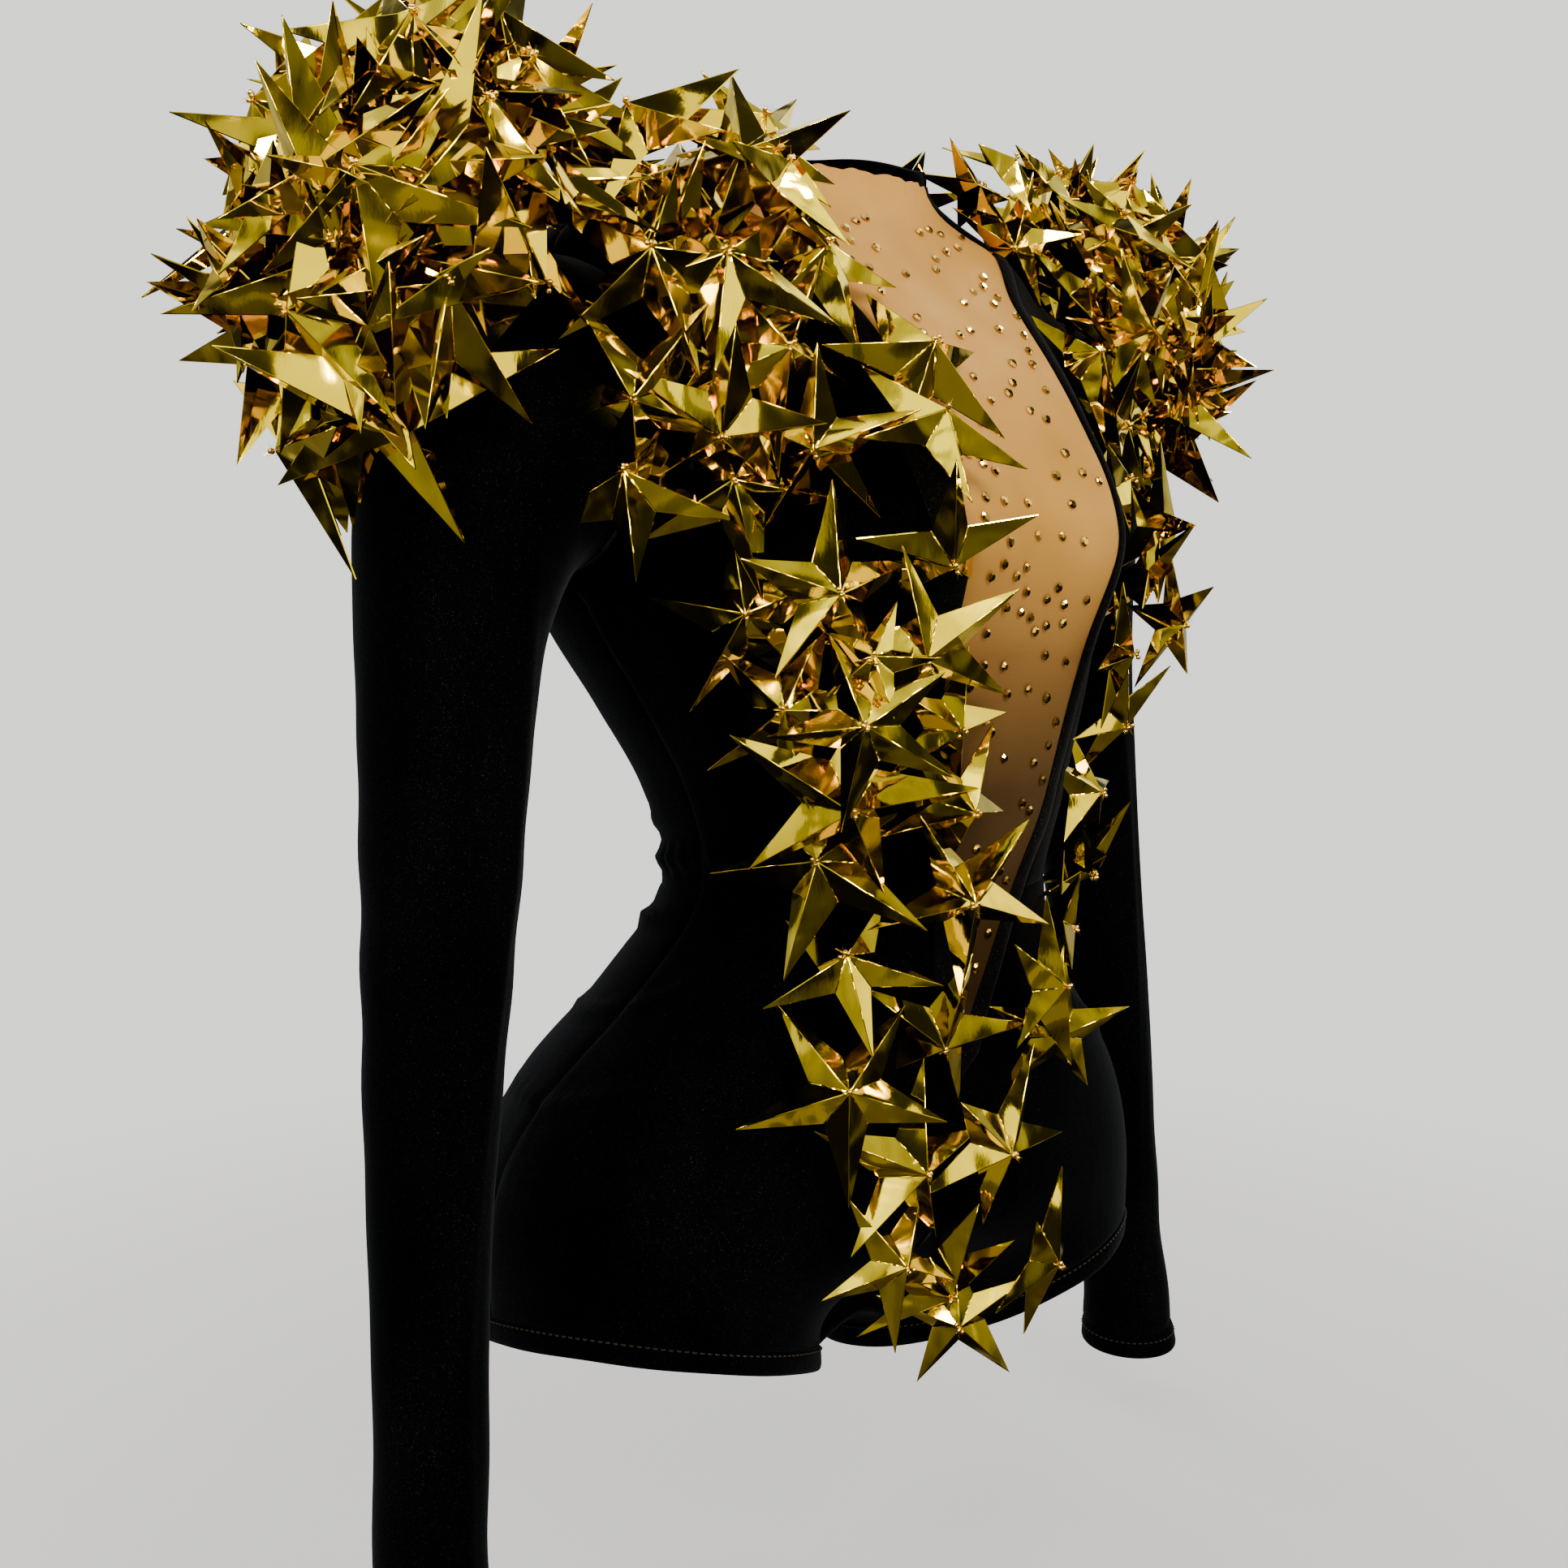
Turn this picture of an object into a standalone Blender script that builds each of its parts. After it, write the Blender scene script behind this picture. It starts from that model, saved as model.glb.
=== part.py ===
"""Long-sleeved velvet cheer bodysuit with a sheer plunge panel and folded foil stars.

The garment stands in the shape it takes when worn. Units are metres, +Z is up, -Y is the
wearer's front, +X is the wearer's left, and the origin is the centre of the waist.
Shapes are drafted on an upright body block. posture() then turns the hips a little and
lowers the right shoulder, which is how the form stands.
"""

import math

import bmesh
import bpy
import numpy as np

# Cloth and foil, thicker than the real ones so that every piece is a solid
VELVET = 0.0016
MESH_CLOTH = 0.0010
FOIL = 0.0012
SEAM = 0.0006  # gap between two pieces sewn edge to edge

# Heights on the body
WAIST_Z = 0.0
COLLAR_Z = 0.368
COLLAR_BAND = 0.008
SEAM_SPLIT_Z = -0.162  # where the centre seams part around the gusset
HEM_BAND = 0.012

# How the form stands
HIP_TURN = math.radians(-15.0)
SHOULDER_LEAN = 0.08  # rise of the left shoulder per metre across the body
FRONT_DIP = 0.023  # how much lower the collar sits in front than behind
FRONT_DIP_FROM = 0.300  # height at which the dip begins

# Armhole: an upright circle on each side
ARM_X = 0.163
ARM_Y = 0.010
ARM_Z = 0.229
ARM_R = 0.069

# Leg openings
LEG_X = 0.099
LEG_Y = 0.004
LEG_RX = 0.084
LEG_RY = 0.089
GUSSET_TURN = math.radians(150.0)  # leg angle where the gusset's edges meet the hem
GUSSET_INSET = 0.0022
SIDE_SEAM_TURN = 0.006  # half the side seam's gap, as a leg angle

# Back zip: it runs down an arc that follows the upper spine
ZIP_Y = -0.123
ZIP_Z = 0.215
ZIP_R = 0.2407
ZIP_TOP = math.radians(20.0)
ZIP_END = math.radians(-28.0)
BACK_EDGE_X = 0.0055  # half the opening that the zip fills
TAPE_IN_X = 0.0025
TAPE_OUT_X = 0.0050
COIL_IN_X = 0.0003
COIL_OUT_X = 0.0021

ROUNDNESS = 2.3  # exponent of the body's superellipse sections
SPINE_REACH = 0.022  # how far from the spine the back follows the zip's arc

# Fullness over the bust and the seat
BUST_DEPTH = 0.054
BUST_Z = 0.168
BUST_X = 0.055  # the front is full as far out as this
BUST_SIDE = 0.042  # and fades over this distance
BUST_ABOVE = 0.085
BUST_BELOW = 0.054
SEAT_DEPTH = 0.018
SEAT_X = 0.075
SEAT_Z = -0.145

# z, half width, depth in front, depth behind, centre y
TORSO = (
    (-0.260, 0.171, 0.098, 0.116, 0.004),
    (-0.226, 0.178, 0.103, 0.124, 0.004),
    (-0.188, 0.184, 0.107, 0.130, 0.004),
    (-0.141, 0.180, 0.107, 0.126, 0.003),
    (-0.094, 0.161, 0.104, 0.113, -0.003),
    (-0.047, 0.126, 0.094, 0.090, -0.011),
    (0.000, 0.102, 0.089, 0.077, -0.019),
    (0.047, 0.111, 0.098, 0.086, -0.019),
    (0.094, 0.132, 0.104, 0.099, -0.013),
    (0.150, 0.156, 0.096, 0.110, 0.000),
    (0.207, 0.164, 0.091, 0.113, 0.005),
    (0.254, 0.167, 0.089, 0.106, 0.009),
    (0.291, 0.166, 0.076, 0.093, 0.013),
    (0.320, 0.148, 0.063, 0.078, 0.013),
    (0.343, 0.104, 0.052, 0.062, 0.011),
    (0.362, 0.068, 0.046, 0.052, 0.008),
    (0.381, 0.054, 0.047, 0.049, 0.004),
)

# z and half width of the sheer panel
PLUNGE = (
    (-0.090, 0.0000),
    (-0.070, 0.0018),
    (-0.050, 0.0065),
    (0.000, 0.0210),
    (0.040, 0.0360),
    (0.085, 0.0480),
    (0.130, 0.0540),
    (0.170, 0.0580),
    (0.210, 0.0610),
    (0.250, 0.0600),
    (0.285, 0.0670),
    (0.310, 0.0800),
    (0.335, 0.0880),
    (0.350, 0.0660),
    (0.370, 0.0440),
)
BINDING = 0.011
BINDING_END_Z = -0.089

# Sleeve, from the armhole down: top point x, z; bottom point x, z; half depth, centre y
SLEEVE = (
    (0.1655, 0.2980, 0.1655, 0.1600, 0.069, 0.010),
    (0.1930, 0.2950, 0.1675, 0.1592, 0.068, 0.010),
    (0.2220, 0.2730, 0.1705, 0.1565, 0.063, 0.009),
    (0.2430, 0.2380, 0.1745, 0.1500, 0.056, 0.008),
    (0.2550, 0.1930, 0.1795, 0.1380, 0.049, 0.007),
    (0.2590, 0.1480, 0.1840, 0.1220, 0.042, 0.006),
    (0.2600, 0.0950, 0.1900, 0.0850, 0.0370, 0.004),
    (0.2630, 0.0300, 0.1990, 0.0260, 0.0345, 0.000),
    (0.2670, -0.0370, 0.2100, -0.0390, 0.0305, -0.005),
    (0.2710, -0.1120, 0.2210, -0.1130, 0.0265, -0.011),
    (0.2735, -0.1860, 0.2275, -0.1870, 0.0245, -0.016),
    (0.2780, -0.2600, 0.2310, -0.2610, 0.0250, -0.020),
    (0.2850, -0.3220, 0.2310, -0.3230, 0.0285, -0.024),
)
CUFF = (
    (0.2851, -0.3228, 0.2309, -0.3238, 0.0286, -0.0241),
    (0.2870, -0.3370, 0.2300, -0.3380, 0.0300, -0.0250),
)
ARM_CORNER_Z = (0.150, 0.163, 0.180, 0.200, 0.229, 0.256, 0.276, 0.291, 0.302)

# Star cap over each shoulder
CAP_CENTRE = (0.224, 0.000, 0.276)
CAP_R = 0.074
CAP_TIP_R = 0.132
CAP_INNER_X = 0.176
CAP_SHAPE = (0.92, 0.86, 1.06)  # the spikes' length across, front to back, and up

# Foil stars on the torso: offset across (+ is the wearer's left), height, tip radius, turn in degrees
STARS = (
    ("right_star", -0.134, 0.236, 0.044, 8),
    ("right_star", -0.084, 0.278, 0.044, 20),
    ("right_star", -0.060, 0.236, 0.040, 2),
    ("right_star", -0.124, 0.190, 0.042, 30),
    ("right_star", -0.096, 0.202, 0.042, 12),
    ("right_star", -0.068, 0.163, 0.042, 40),
    ("right_star", -0.122, 0.138, 0.040, 5),
    ("right_star", -0.070, 0.126, 0.040, 25),
    ("right_star", -0.108, 0.099, 0.042, 50),
    ("right_star", -0.052, 0.086, 0.036, 15),
    ("right_star", -0.088, 0.064, 0.046, 33),
    ("right_star", -0.045, 0.050, 0.036, 9),
    ("right_star", -0.083, 0.022, 0.046, 18),
    ("right_star", -0.038, 0.012, 0.042, 0),
    ("right_star", -0.072, -0.026, 0.040, 22),
    ("left_star", 0.096, 0.320, 0.036, 12),
    ("left_star", 0.112, 0.282, 0.040, 30),
    ("left_star", 0.088, 0.190, 0.036, 8),
    ("left_star", 0.082, 0.148, 0.040, 24),
    ("left_star", 0.070, 0.112, 0.036, 40),
    ("left_star", 0.075, 0.045, 0.036, 14),
    ("left_star", 0.058, -0.020, 0.038, 28),
    ("hip_star", 0.048, -0.070, 0.038, 3),
    ("hip_star", -0.022, -0.060, 0.044, 16),
    ("hip_star", -0.071, -0.078, 0.044, 35),
    ("hip_star", 0.008, -0.108, 0.044, 27),
    ("hip_star", -0.006, -0.178, 0.046, 10),
)
STAR_POINTS = 5
STAR_NOTCH = 0.38  # notch radius as a share of the tip radius
STAR_RISE = 0.26  # apex height as a share of the tip radius
STAR_LIFT = 0.007
STAR_LAYER = 0.0135

COLUMNS = 11  # points across a bodice or shorts panel
SHORTS_ROWS = 15
V_ROWS = 5  # rows of the shorts that the sheer panel's V reaches down
LEG_COLUMNS = 24
SLEEVE_SIDES = 18


def clear_scene():
    for obj in list(bpy.data.objects):
        bpy.data.objects.remove(obj, do_unlink=True)


def material(name, color, roughness, metallic=0.0):
    mat = bpy.data.materials.new(name)
    mat.use_nodes = True
    bsdf = mat.node_tree.nodes["Principled BSDF"]
    bsdf.inputs["Base Color"].default_value = (*color, 1.0)
    bsdf.inputs["Roughness"].default_value = roughness
    bsdf.inputs["Metallic"].default_value = metallic
    return mat


# ---------------------------------------------------------------- curves and the body block


def smooth(t):
    t = min(max(t, 0.0), 1.0)
    return t * t * (3.0 - 2.0 * t)


def curve_value(table, z, column):
    """A smooth curve through one column of a table whose first column is the height."""
    heights = [row[0] for row in table]
    values = [row[column] for row in table]
    slopes = np.gradient(values, heights)
    i = int(np.clip(np.searchsorted(heights, z) - 1, 0, len(heights) - 2))
    step = heights[i + 1] - heights[i]
    t = min(max((z - heights[i]) / step, 0.0), 1.0)
    return (
        (2 * t**3 - 3 * t**2 + 1) * values[i]
        + (t**3 - 2 * t**2 + t) * step * slopes[i]
        + (3 * t**2 - 2 * t**3) * values[i + 1]
        + (t**3 - t**2) * step * slopes[i + 1]
    )


def signed_power(value, exponent):
    return math.copysign(abs(value) ** exponent, value)


def bust(x, z):
    """Cloth bridging the two cups: full across the middle, with a slight dip at the centre."""
    across = max(abs(x) - BUST_X, 0.0) / BUST_SIDE
    up = (z - BUST_Z) / (BUST_ABOVE if z > BUST_Z else BUST_BELOW)
    dip = 1.0 - 0.20 * math.exp(-((x / 0.030) ** 2))
    return BUST_DEPTH * math.exp(-(across**2) - up**2) * dip


def seat(x, z):
    across = (abs(x) - SEAT_X) / 0.066
    up = (z - SEAT_Z) / 0.080
    return SEAT_DEPTH * math.exp(-(across**2) - up**2)


def zip_line_y(z):
    return ZIP_Y + math.sqrt(ZIP_R**2 - (z - ZIP_Z) ** 2)


def block(z, angle):
    """A point on the upright body block. Angle 0 is the side, -90 degrees the front, 90 the back."""
    half, front, back, centre = (curve_value(TORSO, z, k) for k in (1, 2, 3, 4))
    c, s = math.cos(angle), math.sin(angle)
    x = half * signed_power(c, 2.0 / ROUNDNESS)
    if s < 0.0:
        y = -front * abs(s) ** (2.0 / ROUNDNESS) - bust(x, z) * math.sqrt(-s)
    else:
        y = back * s ** (2.0 / ROUNDNESS) + seat(x, z) * math.sqrt(s)
    if s > 0.0:
        # the spine follows the zip's arc
        share = smooth((z - 0.060) / 0.035) * smooth((0.335 - z) / 0.030)
        share *= math.exp(-((x / SPINE_REACH) ** 2))
        spine = back + seat(0.0, z) + centre
        y += (zip_line_y(min(max(z, 0.02), 0.40)) - spine) * share
    return x, y + centre, z


def angle_at(z, x, front):
    """The block angle where a section is x away from the centre line."""
    half = curve_value(TORSO, z, 1)
    ratio = min(max(x / half, 0.0), 0.985)
    turn = math.acos(ratio ** (ROUNDNESS / 2.0))
    return -turn if front else turn


def posture(point, side):
    """Mirror to one side, turn the hips, lean the shoulders and lower the front of the collar."""
    x, y, z = point
    x *= side
    dip = FRONT_DIP * smooth((z - FRONT_DIP_FROM) / 0.065) * smooth((0.040 - y) / 0.085)
    turn = HIP_TURN * smooth((0.040 - z) / 0.190)
    c, s = math.cos(turn), math.sin(turn)
    x, y = x * c - y * s, x * s + y * c
    return x, y, z - dip + SHOULDER_LEAN * x * smooth((z - 0.020) / 0.130)


# ---------------------------------------------------------------- solids


def add_object(name, points, faces, mat, smooth_angle=40.0):
    mesh = bpy.data.meshes.new(name)
    mesh.from_pydata([tuple(p) for p in points], [], faces)
    mesh.update()
    mesh.materials.append(mat)
    mesh.shade_smooth()
    mesh.set_sharp_from_angle(angle=math.radians(smooth_angle))
    obj = bpy.data.objects.new(name, mesh)
    bpy.context.scene.collection.objects.link(obj)
    return obj


def grid_normals(outer, around):
    """Unit normals of a grid of points, rows by columns."""
    if around:
        padded = np.concatenate([outer[:, -1:], outer, outer[:, :1]], axis=1)
        across = (padded[:, 2:] - padded[:, :-2]) / 2.0
    else:
        across = np.gradient(outer, axis=1)
    down = np.gradient(outer, axis=0)
    normals = np.cross(across, down)
    lengths = np.linalg.norm(normals, axis=2, keepdims=True)
    return normals / np.maximum(lengths, 1e-9)


def sheet_solid(name, outer, thickness, mat, around=False):
    """A closed solid: the outer grid, the same grid set inwards, and a rim between them."""
    outer = np.array(outer, dtype=float)
    rows, cols = outer.shape[:2]
    normals = grid_normals(outer, around)
    inner = outer - normals * thickness
    points = np.concatenate([outer.reshape(-1, 3), inner.reshape(-1, 3)])
    shift = rows * cols
    faces = []
    spans = cols if around else cols - 1
    for r in range(rows - 1):
        for c in range(spans):
            d = (c + 1) % cols
            quad = (r * cols + c, r * cols + d, (r + 1) * cols + d, (r + 1) * cols + c)
            faces.append(quad)
            faces.append(tuple(shift + k for k in reversed(quad)))
    border = [((r, c), (r, (c + 1) % cols)) for r, flip in ((0, 0), (rows - 1, 1)) for c in range(spans)]
    for (r, c), (_, d) in border:
        a, b = r * cols + c, r * cols + d
        quad = (b, a, shift + a, shift + b)
        faces.append(quad if r == 0 else tuple(reversed(quad)))
    if not around:
        for r in range(rows - 1):
            for c in (0, cols - 1):
                a, b = r * cols + c, (r + 1) * cols + c
                quad = (a, b, shift + b, shift + a)
                faces.append(quad if c == 0 else tuple(reversed(quad)))
    return add_object(name, points, outward(points, faces), mat)


def outward(points, faces):
    """The faces, all turned over if the solid they close is inside out."""
    volume = 0.0
    for face in faces:
        a = points[face[0]]
        for i in range(1, len(face) - 1):
            volume += float(np.dot(a, np.cross(points[face[i]], points[face[i + 1]])))
    return faces if volume > 0.0 else [tuple(reversed(face)) for face in faces]


# ---------------------------------------------------------------- bodice


def plunge_edge(z):
    return curve_value(PLUNGE, z, 1)


def velvet_edge(z):
    """Half the distance between the two velvet fronts."""
    return plunge_edge(z) + BINDING * smooth((z - BINDING_END_Z) / 0.016) + SEAM


def armhole_point(z, front):
    rise = min(abs(z - ARM_Z), ARM_R)
    depth = math.sqrt(ARM_R**2 - rise**2)
    return np.array([ARM_X, ARM_Y + (-depth if front else depth), z])


def side_angle(z, front):
    """Where the panel's body surface ends: at the side seam, or level with the armhole's edge."""
    turn = math.asin(min(SEAM / 0.1, 1.0))
    if abs(z - ARM_Z) < ARM_R:
        _, front_depth, back_depth, centre = (curve_value(TORSO, z, k) for k in (1, 2, 3, 4))
        depth = front_depth if front else back_depth
        reach = abs(armhole_point(z, front)[1] - centre) / depth
        turn = max(turn, math.asin(min(reach ** (ROUNDNESS / 2.0), 0.95)))
    return -turn if front else turn


def bodice_rows():
    below = np.linspace(WAIST_Z + SEAM / 2, 0.145, 9)
    above = np.linspace(0.310, COLLAR_Z, 7)
    return [*below, *ARM_CORNER_Z, *above]


def v_rows():
    """Heights of the sheer V's rows below the waist, level with the rows of the shorts."""
    low = hem_height(-GUSSET_TURN) + HEM_BAND + SEAM
    return [-SEAM / 2 + (low + SEAM / 2) * k / (SHORTS_ROWS - 1) for k in range(V_ROWS, -1, -1)]


def bodice_point(z, t, front):
    """A point on a bodice panel: t runs from 0 at its centre edge to 1 at its side edge."""
    if front:
        start = angle_at(z, velvet_edge(z), True)
    else:
        seam_x = SEAM + (BACK_EDGE_X - SEAM) * smooth((z - 0.060) / 0.020)
        start = angle_at(z, seam_x, False)
    end = side_angle(z, front)
    point = np.array(block(z, start + (end - start) * t))
    if abs(z - ARM_Z) < ARM_R:
        point += (armhole_point(z, front) - np.array(block(z, end))) * smooth((t - 0.45) / 0.55)
    return point


def bodice_grid(side, front):
    steps = [k / (COLUMNS - 1) for k in range(COLUMNS)]
    return [[posture(bodice_point(z, t, front), side) for t in steps] for z in bodice_rows()]


def make_bodice(velvet):
    for side, word in ((-1, "right"), (1, "left")):
        sheet_solid(f"{word}_front_bodice", bodice_grid(side, True), VELVET, velvet)
        sheet_solid(f"{word}_back_bodice", bodice_grid(side, False), VELVET, velvet)


def make_plunge_panel(sheer, velvet):
    grid = []
    for z in [*v_rows()[1:], *bodice_rows()]:
        edge = angle_at(z, max(plunge_edge(z) - SEAM / 2, SEAM), True)
        half = math.pi / 2 + edge
        row = []
        for t in np.linspace(-1.0, 1.0, COLUMNS):
            angle = -math.pi / 2 + half * abs(t)
            row.append(posture(block(z, angle), 1 if t > 0 else -1))
        grid.append(row)
    sheet_solid("plunge_mesh_panel", grid, MESH_CLOTH, sheer)

    for side, word in ((-1, "right"), (1, "left")):
        grid = []
        for z in [*v_rows(), *bodice_rows()]:
            inner = angle_at(z, plunge_edge(z) + SEAM / 2, True)
            outer = angle_at(z, velvet_edge(z) - SEAM, True)
            outer = max(outer, inner + 0.004)
            row = [posture(block(z, inner + (outer - inner) * t), side) for t in (0.0, 0.5, 1.0)]
            grid.append(row)
        sheet_solid(f"{word}_plunge_binding", grid, VELVET, velvet)


def make_neck_bindings(velvet):
    """The back half of the collar's edge, from the end of the sheer yoke to the back opening."""
    for side, word in ((-1, "right"), (1, "left")):
        grid = []
        for z in (COLLAR_Z + SEAM, COLLAR_Z + COLLAR_BAND):
            start = angle_at(z, plunge_edge(COLLAR_Z), True)
            end = angle_at(z, BACK_EDGE_X, False)
            grid.append([posture(block(z, start + (end - start) * t), side) for t in np.linspace(0, 1, 15)])
        sheet_solid(f"{word}_neck_binding", grid, VELVET, velvet)


# ---------------------------------------------------------------- shorts


def hem_height(leg_angle):
    """The leg opening is cut high at the outer front and low at the inner back."""
    return -0.236 + 0.032 * math.cos(leg_angle + math.pi / 4)


def leg_share(z):
    """How far the hip section has become a round leg."""
    return smooth((-0.150 - z) / 0.075)


def into_leg(z, hip_angle, leg_angle):
    """A point part of the way from the hip section to the leg's oval, by its height."""
    hip = np.array(block(z, hip_angle))
    leg = np.array([LEG_X + LEG_RX * math.cos(leg_angle), LEG_Y + LEG_RY * math.sin(leg_angle), z])
    share = leg_share(z)
    return hip * (1.0 - share) + leg * share


def leg_point(z, leg_angle):
    """A point on the leg's hem. Leg angle 0 is the outside, -90 degrees the front, 180 the inside."""
    return into_leg(z, min(max(leg_angle * 0.6, -math.pi / 2), math.pi / 2), leg_angle)


def shorts_grid(side, front):
    sign = -1.0 if front else 1.0
    grid = []
    for r in range(SHORTS_ROWS):
        row = []
        t = r / (SHORTS_ROWS - 1)
        for c in range(COLUMNS):
            u = c / (COLUMNS - 1)
            leg_angle = sign * (GUSSET_TURN * (1.0 - u) + SIDE_SEAM_TURN * u)
            end = hem_height(leg_angle) + HEM_BAND + SEAM
            z = -SEAM / 2 + (end + SEAM / 2) * t
            edge_x = velvet_edge(z) if front and z > BINDING_END_Z else SEAM
            hip_start = angle_at(z, edge_x, front)
            hip_angle = hip_start * (1.0 - u) + sign * 0.6 * SIDE_SEAM_TURN * u
            row.append(posture(into_leg(z, hip_angle, leg_angle), side))
        grid.append(row)
    return grid


def gusset_edge(s):
    """The gusset's edge for s from 0, in front, to 1, behind: up to the seams, and round the inner thigh."""
    third = 0.36
    if s < third or s > 1.0 - third:
        front = s < 0.5
        t = (s if front else 1.0 - s) / third
        leg_angle = -GUSSET_TURN if front else GUSSET_TURN
        low = hem_height(leg_angle) + HEM_BAND + SEAM
        z = SEAM_SPLIT_Z + (low - SEAM_SPLIT_Z) * t
    else:
        t = (s - third) / (1.0 - 2.0 * third)
        leg_angle = -GUSSET_TURN - 2.0 * (math.pi - GUSSET_TURN) * t
        z = hem_height(leg_angle) + HEM_BAND + SEAM
        leg_angle = leg_angle if leg_angle > -math.pi else leg_angle + 2.0 * math.pi
    point = into_leg(z, -math.pi / 2 if s < 0.5 else math.pi / 2, leg_angle)
    point[0] = max(point[0] - GUSSET_INSET, 0.0005)
    return point


def make_gusset(velvet):
    grid = []
    count = 27
    for k in range(count):
        s = k / (count - 1)
        edge = gusset_edge(s)
        middle = edge.copy()
        middle[0] = 0.0
        middle[2] += 0.016 * math.sin(math.pi * s) ** 2
        row = []
        for t in (-1.0, -0.66, -0.33, 0.0, 0.33, 0.66, 1.0):
            point = middle + (edge - middle) * abs(t) ** 1.6
            point[0] = edge[0] * abs(t)
            row.append(posture(point, 1 if t > 0 else -1))
        grid.append(row)
    sheet_solid("crotch_gusset", grid, VELVET, velvet)


def make_shorts(velvet):
    for side, word in ((-1, "right"), (1, "left")):
        sheet_solid(f"{word}_front_shorts", shorts_grid(side, True), VELVET, velvet)
        sheet_solid(f"{word}_back_shorts", shorts_grid(side, False), VELVET, velvet)
    make_gusset(velvet)


def make_leg_hems(velvet):
    for side, word in ((-1, "right"), (1, "left")):
        grid = []
        for drop in (0.0, 1.0):
            row = []
            for k in range(LEG_COLUMNS):
                leg_angle = -math.pi + 2.0 * math.pi * (k + 0.5) / LEG_COLUMNS
                z = hem_height(leg_angle) + HEM_BAND * (1.0 - drop)
                row.append(posture(leg_point(z, leg_angle), side))
            grid.append(row)
        sheet_solid(f"{word}_leg_hem", grid, VELVET, velvet, around=True)


# ---------------------------------------------------------------- sleeves


def sleeve_ring(row, side):
    top_x, top_z, low_x, low_z, depth, centre_y = row
    top, low = np.array([top_x, centre_y, top_z]), np.array([low_x, centre_y, low_z])
    centre, reach = (top + low) / 2.0, (top - low) / 2.0
    ring = []
    for k in range(SLEEVE_SIDES):
        turn = 2.0 * math.pi * k / SLEEVE_SIDES
        point = centre + reach * math.cos(turn) + np.array([0.0, depth * math.sin(turn), 0.0])
        ring.append((side * point[0], point[1], point[2] + SHOULDER_LEAN * ARM_X * side))
    return ring


def make_sleeves(velvet):
    for side, word in ((-1, "right"), (1, "left")):
        sheet_solid(f"{word}_sleeve", [sleeve_ring(row, side) for row in SLEEVE], VELVET, velvet, True)
        sheet_solid(f"{word}_cuff_hem", [sleeve_ring(row, side) for row in CUFF], VELVET, velvet, True)


def make_star_cap(name, side, foil):
    """A dome with a hollow foil spike on every facet, open towards the body and below."""
    ball = bmesh.new()
    bmesh.ops.create_icosphere(ball, subdivisions=2, radius=1.0)
    ball.verts.ensure_lookup_table()
    centre = np.array(CAP_CENTRE)
    kept = []
    for face in ball.faces:
        middle = np.mean([v.co for v in face.verts], axis=0)
        middle = middle / np.linalg.norm(middle)
        corner_x = min(centre[0] + CAP_R * v.co.x for v in face.verts)
        faces_out = middle[0] * 0.78 + middle[2] * 0.62
        if corner_x > CAP_INNER_X - 0.004 and faces_out > -0.05:
            kept.append(([v.index for v in face.verts], middle))
    used = sorted({i for ids, _ in kept for i in ids})
    index = {old: new for new, old in enumerate(used)}
    base = [np.array(ball.verts[i].co) for i in used]
    ball.free()

    outer = [centre + CAP_R * p for p in base]
    inner = [centre + (CAP_R - FOIL) * p for p in base]
    points = outer + inner
    shift = len(base)
    faces = []
    edges = {}
    for number, (ids, middle) in enumerate(kept):
        ids = [index[i] for i in ids]
        length = CAP_TIP_R - 0.016 * ((number * 7) % 5) / 4.0
        reach = middle * np.array(CAP_SHAPE)
        tip = centre + length * reach
        tip[0] = max(tip[0], CAP_INNER_X)
        tip_in = centre + (length - 5.0 * FOIL) * reach
        tip_in[0] = max(tip_in[0], CAP_INNER_X + 0.002)
        points += [tip, tip_in]
        tip_id = len(points) - 2
        for a, b in zip(ids, ids[1:] + ids[:1]):
            faces.append((a, b, tip_id))
            faces.append((shift + b, shift + a, tip_id + 1))
            edges[(a, b)] = edges.get((a, b), 0) + 1
    for a, b in edges:
        if (b, a) not in edges:
            faces.append((b, a, shift + a, shift + b))
    placed = []
    for p in points:
        placed.append(np.array([side * p[0], p[1], p[2] + SHOULDER_LEAN * ARM_X * side]))
    return add_object(name, placed, outward(placed, faces), foil, 10.0)


# ---------------------------------------------------------------- stars


def star_solid(name, centre, normal, up, radius, turn, foil):
    """A folded five-pointed star: ridges run from the raised middle to the tips, valleys to the notches."""
    normal = normal / np.linalg.norm(normal)
    across = np.cross(up, normal)
    across = across / np.linalg.norm(across)
    along = np.cross(normal, across)

    def place(distance, angle, height):
        return centre + across * distance * math.sin(angle) + along * distance * math.cos(angle) + normal * height

    points = [place(0.0, 0.0, STAR_RISE * radius), place(0.0, 0.0, STAR_RISE * radius - 1.6 * FOIL)]
    rim = []
    for k in range(2 * STAR_POINTS):
        distance = radius if k % 2 == 0 else radius * STAR_NOTCH
        angle = turn + math.pi * k / STAR_POINTS
        rim.append(len(points))
        points += [place(distance, angle, FOIL), place(distance, angle, 0.0)]
    faces = []
    for a, b in zip(rim, rim[1:] + rim[:1]):
        faces += [(0, b, a), (1, a + 1, b + 1), (a, b, b + 1, a + 1)]
    return add_object(name, points, outward(points, faces), foil, 10.0)


def front_point(x, z):
    """The point of the garment's front at an offset across and a height."""
    side = 1 if x > 0 else -1
    if z <= WAIST_Z or abs(x) < velvet_edge(z) + SEAM:
        return np.array(posture(block(z, angle_at(z, abs(x), True)), side))
    low, high = 0.0, 1.0
    for _ in range(24):
        middle = (low + high) / 2.0
        if bodice_point(z, middle, True)[0] < abs(x):
            low = middle
        else:
            high = middle
    return np.array(posture(bodice_point(z, low, True), side))


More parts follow.
